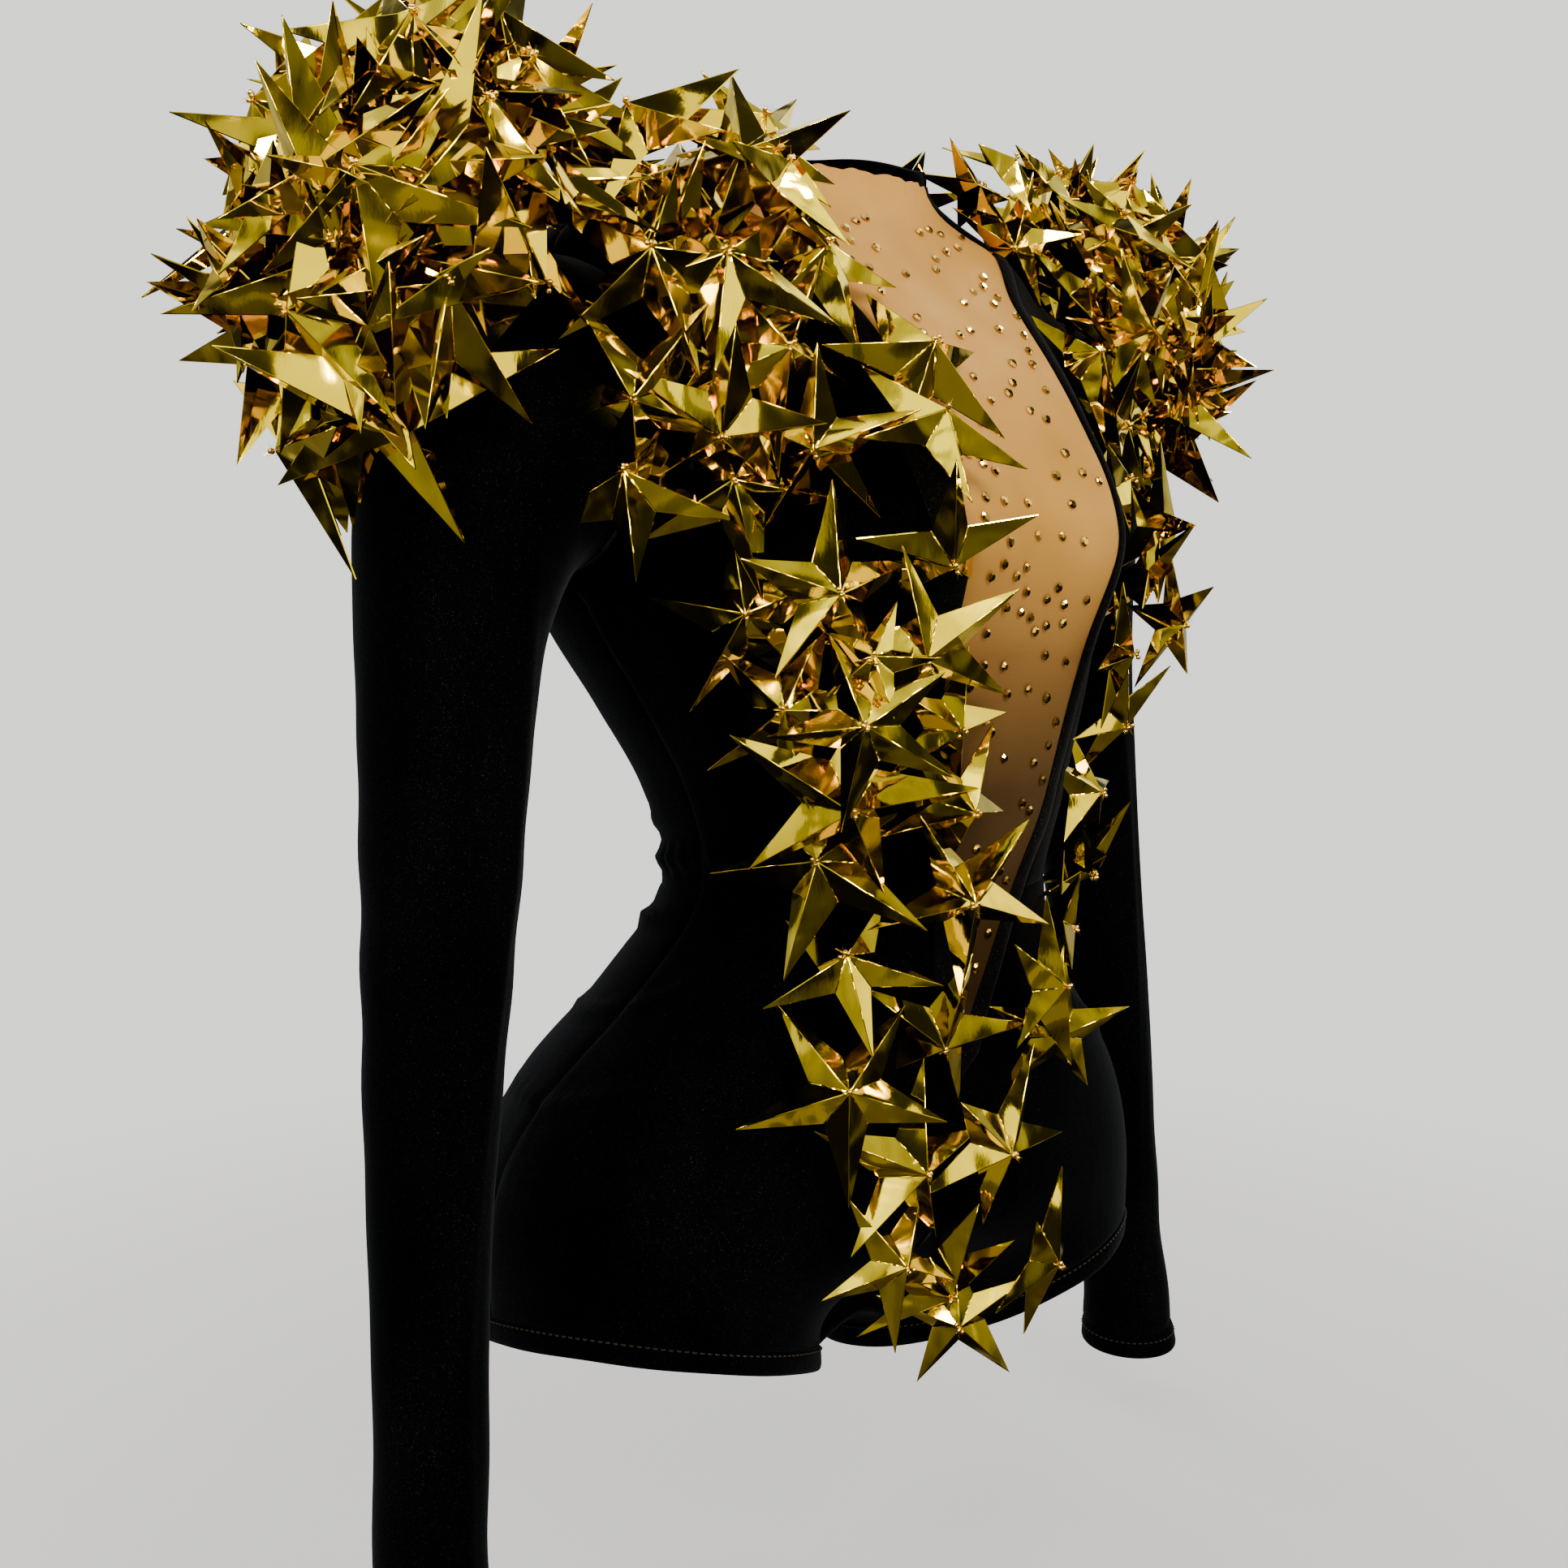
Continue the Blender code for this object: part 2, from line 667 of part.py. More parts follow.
def surface_frame(x, z):
    """The point and outward normal of the garment's front at an offset and a height."""
    reach = 0.010
    across = front_point(x + reach, z) - front_point(x - reach, z)
    up = front_point(x, z + reach) - front_point(x, z - reach)
    normal = np.cross(across, up)
    return front_point(x, z), normal / np.linalg.norm(normal)


def make_stars(foil):
    """Stars overlap like shingles: each lies in the lowest layer that clears those already there."""
    placed = []
    numbers = {}
    for word, x, z, radius, turn in STARS:
        point, normal = surface_frame(x, z)
        layer = 0
        while any(
            other_layer == layer and np.linalg.norm(point - other) < (radius + other_radius) * 0.98
            for other, other_radius, other_layer in placed
        ):
            layer += 1
        placed.append((point, radius, layer))
        numbers[word] = numbers.get(word, 0) + 1
        centre = point + normal * (STAR_LIFT + STAR_LAYER * layer)
        name = f"{word}_{numbers[word]:02d}"
        star_solid(name, centre, normal, np.array([0.0, 0.0, 1.0]), radius, math.radians(turn), foil)


# ---------------------------------------------------------------- back zip


def arc_point(angle, radius, x):
    return np.array([x, ZIP_Y + radius * math.cos(angle), ZIP_Z + radius * math.sin(angle)])


def arc_strip(name, x_in, x_out, low_r, high_r, start, end, mat, steps=16):
    """A strip of rectangular section bent along the zip's arc."""
    points = []
    for k in range(steps + 1):
        angle = start + (end - start) * k / steps
        for x, radius in ((x_in, low_r), (x_out, low_r), (x_out, high_r), (x_in, high_r)):
            points.append(arc_point(angle, radius, x))
    faces = [(0, 1, 2, 3), tuple(4 * steps + k for k in (3, 2, 1, 0))]
    for k in range(steps):
        for i in range(4):
            j = (i + 1) % 4
            faces.append((4 * k + i, 4 * (k + 1) + i, 4 * (k + 1) + j, 4 * k + j))
    return add_object(name, points, outward(points, faces), mat)


def arc_block(name, angle, outline, low_r, high_r, mat):
    """A plate on the zip, from an outline of (x, distance along the arc) at one angle."""
    radial = arc_point(angle, 1.0, 0.0) - arc_point(angle, 0.0, 0.0)
    along = np.array([0.0, -radial[2], radial[1]])
    points = []
    for radius in (low_r, high_r):
        for x, run in outline:
            points.append(arc_point(angle, radius, x) + along * run)
    count = len(outline)
    faces = [tuple(reversed(range(count))), tuple(range(count, 2 * count))]
    for k in range(count):
        j = (k + 1) % count
        faces.append((k, j, count + j, count + k))
    return add_object(name, points, outward(points, faces), mat)


def make_zip(tape_mat, coil_mat, metal):
    for side, word in ((-1, "right"), (1, "left")):
        arc_strip(
            f"{word}_zip_tape", side * TAPE_IN_X, side * TAPE_OUT_X,
            ZIP_R - 0.0014, ZIP_R - 0.0004, ZIP_TOP, ZIP_END, tape_mat,
        )
        arc_strip(
            f"{word}_zip_coil", side * COIL_IN_X, side * COIL_OUT_X,
            ZIP_R - 0.0012, ZIP_R + 0.0004, ZIP_TOP - 0.004, ZIP_END + 0.012, coil_mat,
        )
    low, high = ZIP_R + 0.0008, ZIP_R + 0.0028
    wide, narrow, run = 0.0042, 0.0026, 0.0060
    outline = [(-wide, run), (-narrow, -run), (narrow, -run), (wide, run)]
    start = ZIP_TOP - 0.042
    arc_block("zip_slider", start, outline, low, high, metal)

    half, top, bottom = 0.0024, 0.0040, -0.0260
    tab = [(-half, top), (-half * 0.8, bottom), (half * 0.8, bottom), (half, top)]
    arc_block("zip_pull_tab", start, tab, high + 0.0005, high + 0.0015, metal)

    end = 0.0022
    stop = [(-end, 0.0014), (-end, -0.0014), (end, -0.0014), (end, 0.0014)]
    arc_block("zip_bottom_stop", ZIP_END + 0.004, stop, ZIP_R - 0.0010, ZIP_R + 0.0006, metal)


def make_hook_and_eye(metal):
    """A flat hook and its eye across the back opening, just under the collar's edge."""
    z = COLLAR_Z - 0.006
    y = block(z, angle_at(z, BACK_EDGE_X, False))[1]
    for name, side, reach in (("neck_hook", -1, 0.0030), ("neck_eye", 1, 0.0018)):
        x0, x1 = side * 0.0052, side * 0.0052 - side * reach
        points = []
        for x in (x0, x1):
            for dy, dz in ((-0.0012, -0.002), (-0.0002, -0.002), (-0.0002, 0.002), (-0.0012, 0.002)):
                points.append(np.array([x, y + dy, z + dz]))
        faces = [(0, 1, 2, 3), (7, 6, 5, 4)]
        faces += [(k, k + 4, (k + 1) % 4 + 4, (k + 1) % 4) for k in range(4)]
        add_object(name, points, outward(points, faces), metal)


def main():
    clear_scene()
    velvet = material("black_velvet", (0.006, 0.006, 0.007), 0.9)
    sheer = material("nude_mesh", (0.62, 0.40, 0.28), 0.6)
    foil = material("gold_foil", (0.83, 0.62, 0.12), 0.12, 1.0)
    tape = material("zip_tape", (0.01, 0.01, 0.01), 0.8)
    coil = material("zip_coil", (0.02, 0.02, 0.02), 0.35)
    metal = material("black_metal", (0.03, 0.03, 0.03), 0.3, 1.0)
    make_bodice(velvet)
    make_plunge_panel(sheer, velvet)
    make_neck_bindings(velvet)
    make_shorts(velvet)
    make_leg_hems(velvet)
    make_sleeves(velvet)
    for side, word in ((-1, "right"), (1, "left")):
        make_star_cap(f"{word}_shoulder_stars", side, foil)
    make_stars(foil)
    make_zip(tape, coil, metal)
    make_hook_and_eye(metal)


main()
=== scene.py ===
import math

import bpy
import numpy as np
from mathutils import Matrix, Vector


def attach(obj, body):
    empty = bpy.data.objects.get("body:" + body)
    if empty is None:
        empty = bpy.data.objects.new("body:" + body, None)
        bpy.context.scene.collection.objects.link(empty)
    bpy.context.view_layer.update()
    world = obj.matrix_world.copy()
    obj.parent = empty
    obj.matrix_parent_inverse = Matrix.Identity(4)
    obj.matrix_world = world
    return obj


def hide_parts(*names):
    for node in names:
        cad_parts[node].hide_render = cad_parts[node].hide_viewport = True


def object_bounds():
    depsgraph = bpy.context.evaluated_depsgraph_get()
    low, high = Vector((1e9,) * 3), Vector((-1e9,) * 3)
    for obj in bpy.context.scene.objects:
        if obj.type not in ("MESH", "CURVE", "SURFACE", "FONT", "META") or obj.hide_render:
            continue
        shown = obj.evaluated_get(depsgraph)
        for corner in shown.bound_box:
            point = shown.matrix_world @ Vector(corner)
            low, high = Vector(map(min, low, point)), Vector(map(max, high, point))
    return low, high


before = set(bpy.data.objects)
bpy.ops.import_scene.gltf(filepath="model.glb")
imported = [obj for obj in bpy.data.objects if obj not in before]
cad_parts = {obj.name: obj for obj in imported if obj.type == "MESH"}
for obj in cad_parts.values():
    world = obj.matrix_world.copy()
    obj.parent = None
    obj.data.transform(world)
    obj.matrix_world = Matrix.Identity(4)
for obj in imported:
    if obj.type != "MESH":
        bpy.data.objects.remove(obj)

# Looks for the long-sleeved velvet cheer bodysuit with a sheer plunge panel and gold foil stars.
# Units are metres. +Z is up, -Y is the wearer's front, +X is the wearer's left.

CAD_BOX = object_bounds()
RNG = np.random.default_rng(11)
SIDES = ((-1, "right"), (1, "left"))

# ---------------------------------------------------------------- sizes shared with the CAD

VELVET = 0.0016
MESH_CLOTH = 0.001
SEAM = 0.0006
SEAM_OVERLAP = 0.0005  # how far the panels' rolled edges run past the seam line
WAIST_Z = 0.0
COLLAR_Z = 0.368
COLLAR_BAND = 0.008
SEAM_SPLIT_Z = -0.162
HEM_BAND = 0.012
HIP_TURN = math.radians(-15.0)
SHOULDER_LEAN = 0.08
FRONT_DIP = 0.023
FRONT_DIP_FROM = 0.3
ARM_X = 0.163
ARM_Y = 0.01
ARM_Z = 0.229
ARM_R = 0.069
LEG_X = 0.099
LEG_Y = 0.004
LEG_RX = 0.084
LEG_RY = 0.089
ZIP_Y = -0.123
ZIP_Z = 0.215
ZIP_R = 0.2407
BACK_EDGE_X = 0.0055
ROUNDNESS = 2.3
BINDING = 0.011
BINDING_END_Z = -0.089
CAP_CENTRE = np.array([0.224, 0.0, 0.276])
CAP_REACH = 0.127
CAP_INNER_X = 0.174
CAP_SHAPE = np.array([0.88, 0.8, 1.1])

# z, half width, depth in front, depth behind, centre y
TORSO = (
    (-0.26, 0.171, 0.098, 0.116, 0.004),
    (-0.226, 0.178, 0.103, 0.124, 0.004),
    (-0.188, 0.184, 0.107, 0.13, 0.004),
    (-0.141, 0.18, 0.107, 0.126, 0.003),
    (-0.094, 0.161, 0.104, 0.113, -0.003),
    (-0.047, 0.126, 0.094, 0.09, -0.011),
    (0.0, 0.102, 0.089, 0.077, -0.019),
    (0.047, 0.111, 0.098, 0.086, -0.019),
    (0.094, 0.132, 0.104, 0.099, -0.013),
    (0.15, 0.156, 0.096, 0.11, 0.0),
    (0.207, 0.164, 0.091, 0.113, 0.005),
    (0.254, 0.167, 0.089, 0.106, 0.009),
    (0.291, 0.166, 0.076, 0.093, 0.013),
    (0.32, 0.148, 0.063, 0.078, 0.013),
    (0.343, 0.104, 0.052, 0.062, 0.011),
    (0.362, 0.068, 0.046, 0.052, 0.008),
    (0.381, 0.054, 0.047, 0.049, 0.004),
)

# z and half width of the sheer panel
PLUNGE = (
    (-0.09, 0.0),
    (-0.07, 0.0018),
    (-0.05, 0.0065),
    (0.0, 0.021),
    (0.04, 0.036),
    (0.085, 0.048),
    (0.13, 0.054),
    (0.17, 0.058),
    (0.21, 0.061),
    (0.25, 0.06),
    (0.285, 0.067),
    (0.31, 0.08),
    (0.335, 0.088),
    (0.35, 0.066),
    (0.37, 0.044),
)

# Sleeve, from the armhole down: top point x, z; bottom point x, z; half depth, centre y
SLEEVE = (
    (0.1655, 0.298, 0.1655, 0.16, 0.069, 0.01),
    (0.193, 0.295, 0.1675, 0.1592, 0.068, 0.01),
    (0.222, 0.273, 0.1705, 0.1565, 0.063, 0.009),
    (0.243, 0.238, 0.1745, 0.15, 0.056, 0.008),
    (0.255, 0.193, 0.1795, 0.138, 0.049, 0.007),
    (0.259, 0.148, 0.184, 0.122, 0.042, 0.006),
    (0.26, 0.095, 0.19, 0.085, 0.037, 0.004),
    (0.263, 0.03, 0.199, 0.026, 0.0345, 0.0),
    (0.267, -0.037, 0.21, -0.039, 0.0305, -0.005),
    (0.271, -0.112, 0.221, -0.113, 0.0265, -0.011),
    (0.2735, -0.186, 0.2275, -0.187, 0.0245, -0.016),
    (0.278, -0.26, 0.231, -0.261, 0.025, -0.02),
    (0.285, -0.322, 0.231, -0.323, 0.0285, -0.024),
    (0.2868, -0.3365, 0.2302, -0.3375, 0.0298, -0.0249),
)
CUFF_START = 12  # row of SLEEVE where the cuff's turned hem begins

# Stars with a CAD node of their own, numbered in each row: across, height, tip radius, turn in degrees
CAD_STARS = {
    "right_star": (
        (-0.134, 0.236, 0.046, -5),
        (-0.084, 0.278, 0.046, 14),
        (-0.06, 0.236, 0.045, -5),
        (-0.124, 0.19, 0.045, 25),
        (-0.096, 0.202, 0.04, 2),
        (-0.068, 0.163, 0.04, 56),
        (-0.122, 0.138, 0.044, -6),
        (-0.07, 0.126, 0.042, 56),
        (-0.108, 0.099, 0.044, 20),
        (-0.052, 0.086, 0.036, 10),
        (-0.088, 0.064, 0.052, 11),
        (-0.045, 0.05, 0.036, 30),
        (-0.083, 0.022, 0.052, 47),
        (-0.038, 0.012, 0.043, 37),
        (-0.072, -0.026, 0.04, 22),
    ),
    "left_star": (
        (0.096, 0.32, 0.036, 12),
        (0.112, 0.282, 0.04, 30),
        (0.088, 0.19, 0.036, 8),
        (0.082, 0.148, 0.04, 24),
        (0.07, 0.112, 0.036, 40),
        (0.075, 0.045, 0.036, 14),
        (0.058, -0.02, 0.038, 28),
    ),
    "hip_star": (
        (0.048, -0.07, 0.038, 3),
        (-0.022, -0.06, 0.044, 16),
        (-0.071, -0.078, 0.046, 35),
        (0.008, -0.108, 0.044, 27),
        (-0.006, -0.178, 0.047, 10),
    ),
}

# Stars between them, on the wearer's front: across, height, tip radius, turn in degrees
FRONT_STARS = (
    (-0.112, 0.238, 0.046, 30),
    (-0.066, 0.203, 0.042, 43),
    (-0.096, 0.146, 0.042, -3),
    (-0.086, 0.12, 0.026, 15),
    (-0.09, 0.096, 0.04, 50),
    (0.022, -0.043, 0.04, 20),
    (-0.033, -0.114, 0.044, 8),
    (-0.04, -0.158, 0.036, 40),
    (0.0, -0.192, 0.036, 66),
    (0.032, -0.166, 0.04, 30),
    (0.085, 0.168, 0.04, 50),
    (0.078, 0.13, 0.036, 5),
    (0.08, 0.082, 0.036, 33),
    (0.071, 0.012, 0.036, 61),
    (0.096, 0.222, 0.042, 20),
    (0.104, 0.252, 0.042, 47),
    (-0.141, 0.276, 0.046, 22),
    (-0.112, 0.302, 0.046, 60),
    (0.138, 0.3, 0.044, 18),
    (0.132, 0.262, 0.042, 66),
    (0.132, 0.222, 0.036, 5),
)

# Stars piled against the shoulder balls: across, height, lift, tip radius
PILED_STARS = (
    (-0.145, 0.268, 0.026, 0.047),
    (-0.148, 0.226, 0.026, 0.045),
    (-0.14, 0.306, 0.022, 0.046),
    (-0.15, 0.192, 0.018, 0.044),
    (-0.128, 0.262, 0.034, 0.046),
    (-0.128, 0.214, 0.026, 0.044),
    (-0.11, 0.29, 0.024, 0.046),
    (0.145, 0.27, 0.02, 0.043),
    (0.154, 0.232, 0.022, 0.042),
    (0.132, 0.304, 0.018, 0.043),
    (0.116, 0.262, 0.02, 0.042),
)

# Stars over the tops and backs of the shoulders: side, across, height, on the front, tip radius
TOP_STARS = (
    (-1, 0.118, 0.326, True, 0.044),
    (-1, 0.086, 0.333, True, 0.04),
    (-1, 0.142, 0.306, True, 0.042),
    (-1, 0.112, 0.332, False, 0.042),
    (-1, 0.136, 0.306, False, 0.042),
    (-1, 0.142, 0.272, False, 0.04),
    (-1, 0.112, 0.292, False, 0.042),
    (-1, 0.138, 0.236, False, 0.038),
    (-1, 0.098, 0.32, True, 0.044),
    (-1, 0.082, 0.344, False, 0.04),
    (-1, 0.106, 0.338, False, 0.042),
    (1, 0.072, 0.35, True, 0.034),
    (1, 0.08, 0.35, False, 0.04),
    (1, 0.1, 0.342, False, 0.042),
    (1, 0.122, 0.326, True, 0.04),
    (1, 0.086, 0.342, True, 0.036),
    (1, 0.114, 0.332, False, 0.042),
    (1, 0.138, 0.306, False, 0.042),
    (1, 0.142, 0.272, False, 0.04),
    (1, 0.112, 0.292, False, 0.042),
    (1, 0.138, 0.236, False, 0.038),
)

# ---------------------------------------------------------------- curves and the body block


def smooth(t):
    t = np.clip(t, 0.0, 1.0)
    return t * t * (3.0 - 2.0 * t)


def curve_value(table, z, column):
    """A smooth curve through one column of a table whose first column is the height."""
    heights = np.array([row[0] for row in table])
    values = np.array([row[column] for row in table])
    slopes = np.gradient(values, heights)
    i = np.clip(np.searchsorted(heights, z) - 1, 0, len(heights) - 2)
    step = heights[i + 1] - heights[i]
    t = np.clip((z - heights[i]) / step, 0.0, 1.0)
    near = (2 * t**3 - 3 * t**2 + 1) * values[i] + (t**3 - 2 * t**2 + t) * step * slopes[i]
    far = (3 * t**2 - 2 * t**3) * values[i + 1] + (t**3 - t**2) * step * slopes[i + 1]
    return near + far


def bust(x, z):
    across = np.maximum(np.abs(x) - 0.055, 0.0) / 0.042
    up = (z - 0.168) / np.where(z > 0.168, 0.085, 0.054)
    dip = 1.0 - 0.2 * np.exp(-((x / 0.03) ** 2))
    return 0.054 * np.exp(-(across**2) - up**2) * dip


def seat(x, z):
    across = (np.abs(x) - 0.075) / 0.066
    up = (z + 0.145) / 0.08
    return 0.018 * np.exp(-(across**2) - up**2)


def zip_line_y(z):
    return ZIP_Y + np.sqrt(ZIP_R**2 - (z - ZIP_Z) ** 2)


def block(z, angle):
    """Points on the upright body block. Angle 0 is the side, -90 degrees the front, 90 the back."""
    z, angle = np.broadcast_arrays(np.asarray(z, float), np.asarray(angle, float))
    half, front, back, centre = (curve_value(TORSO, z, k) for k in (1, 2, 3, 4))
    c, s = np.cos(angle), np.sin(angle)
    power = 2.0 / ROUNDNESS
    x = half * np.sign(c) * np.abs(c) ** power
    y_front = -front * np.abs(s) ** power - bust(x, z) * np.sqrt(np.abs(s))
    y_back = back * np.abs(s) ** power + seat(x, z) * np.sqrt(np.abs(s))
    share = smooth((z - 0.06) / 0.035) * smooth((0.335 - z) / 0.03) * np.exp(-((x / 0.022) ** 2))
    spine = back + seat(0.0, z) + centre
    y_back = y_back + (zip_line_y(np.clip(z, 0.02, 0.4)) - spine) * share
    y = np.where(s < 0.0, y_front, y_back)
    return np.stack([x, y + centre, z], axis=-1)


def angle_at(z, x, front):
    ratio = np.clip(x / curve_value(TORSO, z, 1), 0.0, 0.985)
    turn = np.arccos(ratio ** (ROUNDNESS / 2.0))
    return -turn if front else turn


def posture(points, side):
    """Mirror to one side, turn the hips, lean the shoulders and lower the front of the collar."""
    points = np.asarray(points, float)
    x, y, z = points[..., 0] * side, points[..., 1], points[..., 2]
    dip = FRONT_DIP * smooth((z - FRONT_DIP_FROM) / 0.065) * smooth((0.04 - y) / 0.085)
    turn = HIP_TURN * smooth((0.04 - z) / 0.19)
    c, s = np.cos(turn), np.sin(turn)
    x, y = x * c - y * s, x * s + y * c
    return np.stack([x, y, z - dip + SHOULDER_LEAN * x * smooth((z - 0.02) / 0.13)], axis=-1)


def plunge_edge(z):
    return curve_value(PLUNGE, z, 1)


def velvet_edge(z):
    return plunge_edge(z) + BINDING * smooth((z - BINDING_END_Z) / 0.016) + SEAM


def armhole_point(z, front):
    rise = np.minimum(np.abs(z - ARM_Z), ARM_R)
    depth = np.sqrt(ARM_R**2 - rise**2)
    y = ARM_Y + (-depth if front else depth)
    return np.stack([np.full_like(y, ARM_X), y, z + 0.0 * y], axis=-1)


def armhole_pull(z):
    """1 beside the armhole, fading out above and below it."""
    return smooth(1.0 - (np.abs(z - ARM_Z) - ARM_R) / 0.014)


def side_angle(z, front):
    depth = curve_value(TORSO, z, 2 if front else 3)
    centre = curve_value(TORSO, z, 4)
    reach = np.abs(armhole_point(z, front)[..., 1] - centre) / depth
    turn = np.arcsin(np.minimum(reach ** (ROUNDNESS / 2.0), 0.95)) * armhole_pull(z)
    return -turn if front else turn


def bodice_point(z, t, front):
    """Points on a bodice panel: t runs from 0 at its centre edge to 1 at its side edge."""
    z, t = np.broadcast_arrays(np.asarray(z, float), np.asarray(t, float))
    if front:
        start = angle_at(z, velvet_edge(z), True)
    else:
        start = angle_at(z, BACK_EDGE_X * smooth((z - 0.06) / 0.02), False)
    end = side_angle(z, front)
    point = block(z, start + (end - start) * t)
    pull = smooth((t - 0.45) / 0.55) * armhole_pull(z)
    return point + (armhole_point(z, front) - block(z, end)) * pull[..., None]


def hem_height(leg_angle):
    return -0.236 + 0.032 * np.cos(leg_angle + math.pi / 4)


def leg_share(z):
    return smooth((-0.15 - z) / 0.075)


def leg_ring(z, leg_angle):
    x = LEG_X + LEG_RX * np.cos(leg_angle)
    y = LEG_Y + LEG_RY * np.sin(leg_angle)
    return np.stack(np.broadcast_arrays(x, y, z), axis=-1)


def leg_point(z, leg_angle):
    """Points on the shorts. Leg angle 0 is the outside, -90 degrees the front, 180 the inside."""
    hip = block(z, np.clip(leg_angle * 0.6, -math.pi / 2, math.pi / 2))
    share = leg_share(z)[..., None]
    return hip * (1.0 - share) + leg_ring(z, leg_angle) * share


# ---------------------------------------------------------------- meshes


def add_mesh(name, points, faces, mat, smooth_angle=None, smooth_faces=None):
    mesh = bpy.data.meshes.new(name)
    mesh.from_pydata(np.asarray(points, float).tolist(), [], faces)
    mesh.update()
    mesh.materials.append(mat)
    if smooth_angle is not None:
        mesh.shade_smooth()
        mesh.set_sharp_from_angle(angle=math.radians(smooth_angle))
    elif smooth_faces is not None:
        mesh.polygons.foreach_set("use_smooth", smooth_faces)
    obj = bpy.data.objects.new(name, mesh)
    bpy.context.scene.collection.objects.link(obj)
    return obj


def outward(points, faces):
    """The faces, all turned over if the solid they close is inside out."""
    corners = np.array([(f[0], f[i], f[i + 1]) for f in faces for i in range(1, len(f) - 1)])
    a, b, c = (points[corners[:, k]] for k in range(3))
    volume = np.sum(a * np.cross(b, c))
    return faces if volume > 0.0 else [tuple(reversed(face)) for face in faces]


def grid_normals(grid, around):
    if around:
        padded = np.concatenate([grid[:, -1:], grid, grid[:, :1]], axis=1)
        across = (padded[:, 2:] - padded[:, :-2]) / 2.0
    else:
        across = np.gradient(grid, axis=1)
    normals = np.cross(across, np.gradient(grid, axis=0))
    return normals / np.maximum(np.linalg.norm(normals, axis=2, keepdims=True), 1e-9)


def cloth(name, grid, thickness, mat, around=False, relief=None):
    """A closed sheet from a grid of points on its outside. relief is how far each point stands proud."""
    grid = np.asarray(grid, float)
    rows, cols = grid.shape[:2]
    normals = grid_normals(grid, around)
    middle, facing = grid[rows // 2, cols // 2], normals[rows // 2, cols // 2]
    out = np.dot(facing, middle - grid.mean(axis=(0, 1))) if around else np.dot(facing[:2], middle[:2])
    normals = normals * (1.0 if out > 0 else -1.0)
    outer = grid if relief is None else grid + normals * relief[..., None]
    inner = outer - normals * thickness
    points = np.concatenate([outer.reshape(-1, 3), inner.reshape(-1, 3)])
    index = np.arange(rows * cols).reshape(rows, cols)
    if around:
        index = np.concatenate([index, index[:, :1]], axis=1)
    corners = (index[:-1, :-1], index[:-1, 1:], index[1:, 1:], index[1:, :-1])
    quads = np.stack(corners, axis=-1).reshape(-1, 4)
    shift = rows * cols
    edges = [index[0, ::-1], index[-1]]
    if not around:
        edges += [index[:, 0], index[::-1, -1]]
    rims = [np.stack([e[:-1], e[1:], e[1:] + shift, e[:-1] + shift], axis=-1) for e in edges]
    faces = np.concatenate([quads, quads[:, ::-1] + shift, *rims]).tolist()
    return add_mesh(name, points, outward(points, faces), mat, 50.0)


def close_steps(count, near=0.0012, length=0.15):
    """Steps from 0 to 1, with two extra ones close to each end so that an edge can roll under."""
    edge = [0.0, near / length, 2.5 * near / length]
    inside = np.linspace(edge[-1], 1.0 - edge[-1], count)
    return np.array([*edge[:2], *inside, 1.0 - edge[1], 1.0])


def edge_roll(rows, cols, around=False, depth=0.001):
    """Relief that turns a panel's edges under where they are sewn."""
    roll = np.zeros((rows, cols))
    share = (1.0, 0.45, 0.1)
    for k, amount in enumerate(share):
        roll[k, :] = np.minimum(roll[k, :], -amount * depth)
        roll[rows - 1 - k, :] = np.minimum(roll[rows - 1 - k, :], -amount * depth)
        if not around:
            roll[:, k] = np.minimum(roll[:, k], -amount * depth)
            roll[:, cols - 1 - k] = np.minimum(roll[:, cols - 1 - k], -amount * depth)
    return roll


def line_through(points, count=24):
    """A smooth line through a few points."""
    points = np.asarray(points, float)
    run = np.linspace(0.0, len(points) - 1.0, count)
    padded = np.concatenate([points[:1], points, points[-1:]])
    out = []
    for s in run:
        i = min(int(s), len(points) - 2)
        t = s - i
        a, b, c, d = padded[i : i + 4]
        bend = (2 * a - 5 * b + 4 * c - d) * t**2 + (3 * b - a - 3 * c + d) * t**3
        out.append(0.5 * (2 * b + (c - a) * t + bend))
    return np.array(out)


def crease_relief(grid, lines):
    """Relief from soft folds: each is a line, its half width and its height, fading at both ends."""
    flat = grid.reshape(-1, 3)
    relief = np.zeros(len(flat))
    for line, width, height in lines:
        distance = np.linalg.norm(flat[:, None, :] - line[None, :, :], axis=2)
        nearest = distance.argmin(axis=1)
        best = distance[np.arange(len(flat)), nearest]
        taper = np.sin(math.pi * np.clip((nearest + 0.5) / len(line), 0.0, 1.0)) ** 0.8
        u = best / width
        relief += height * taper * (1.0 - 1.1 * u**2) * np.exp(-(u**2))
    return relief.reshape(grid.shape[:2])


def ripple(grid, size, height, seed):
    """Low, wide unevenness, as stretched cloth has."""
    waves = np.random.default_rng(seed)
    relief = np.zeros(grid.shape[:2])
    for _ in range(7):
        direction = waves.normal(size=3) * np.array([1.0, 1.0, 0.6])
        phase = waves.uniform(0.0, 2.0 * math.pi)
        relief += np.sin(grid @ direction / size + phase)
    return relief * height / 4.0


# ---------------------------------------------------------------- materials


def feed(tree, node, inputs):
    """Give a node its inputs: another node's socket is linked, anything else is a constant."""
    for key, value in inputs.items():
        if isinstance(value, bpy.types.NodeSocket):
            tree.links.new(value, node.inputs[key])
        else:
            node.inputs[key].default_value = value


def new_material(name, constants):
    mat = bpy.data.materials.new(name)
    mat.use_nodes = True
    shader = mat.node_tree.nodes["Principled BSDF"]
    feed(mat.node_tree, shader, constants)
    return mat, mat.node_tree, shader


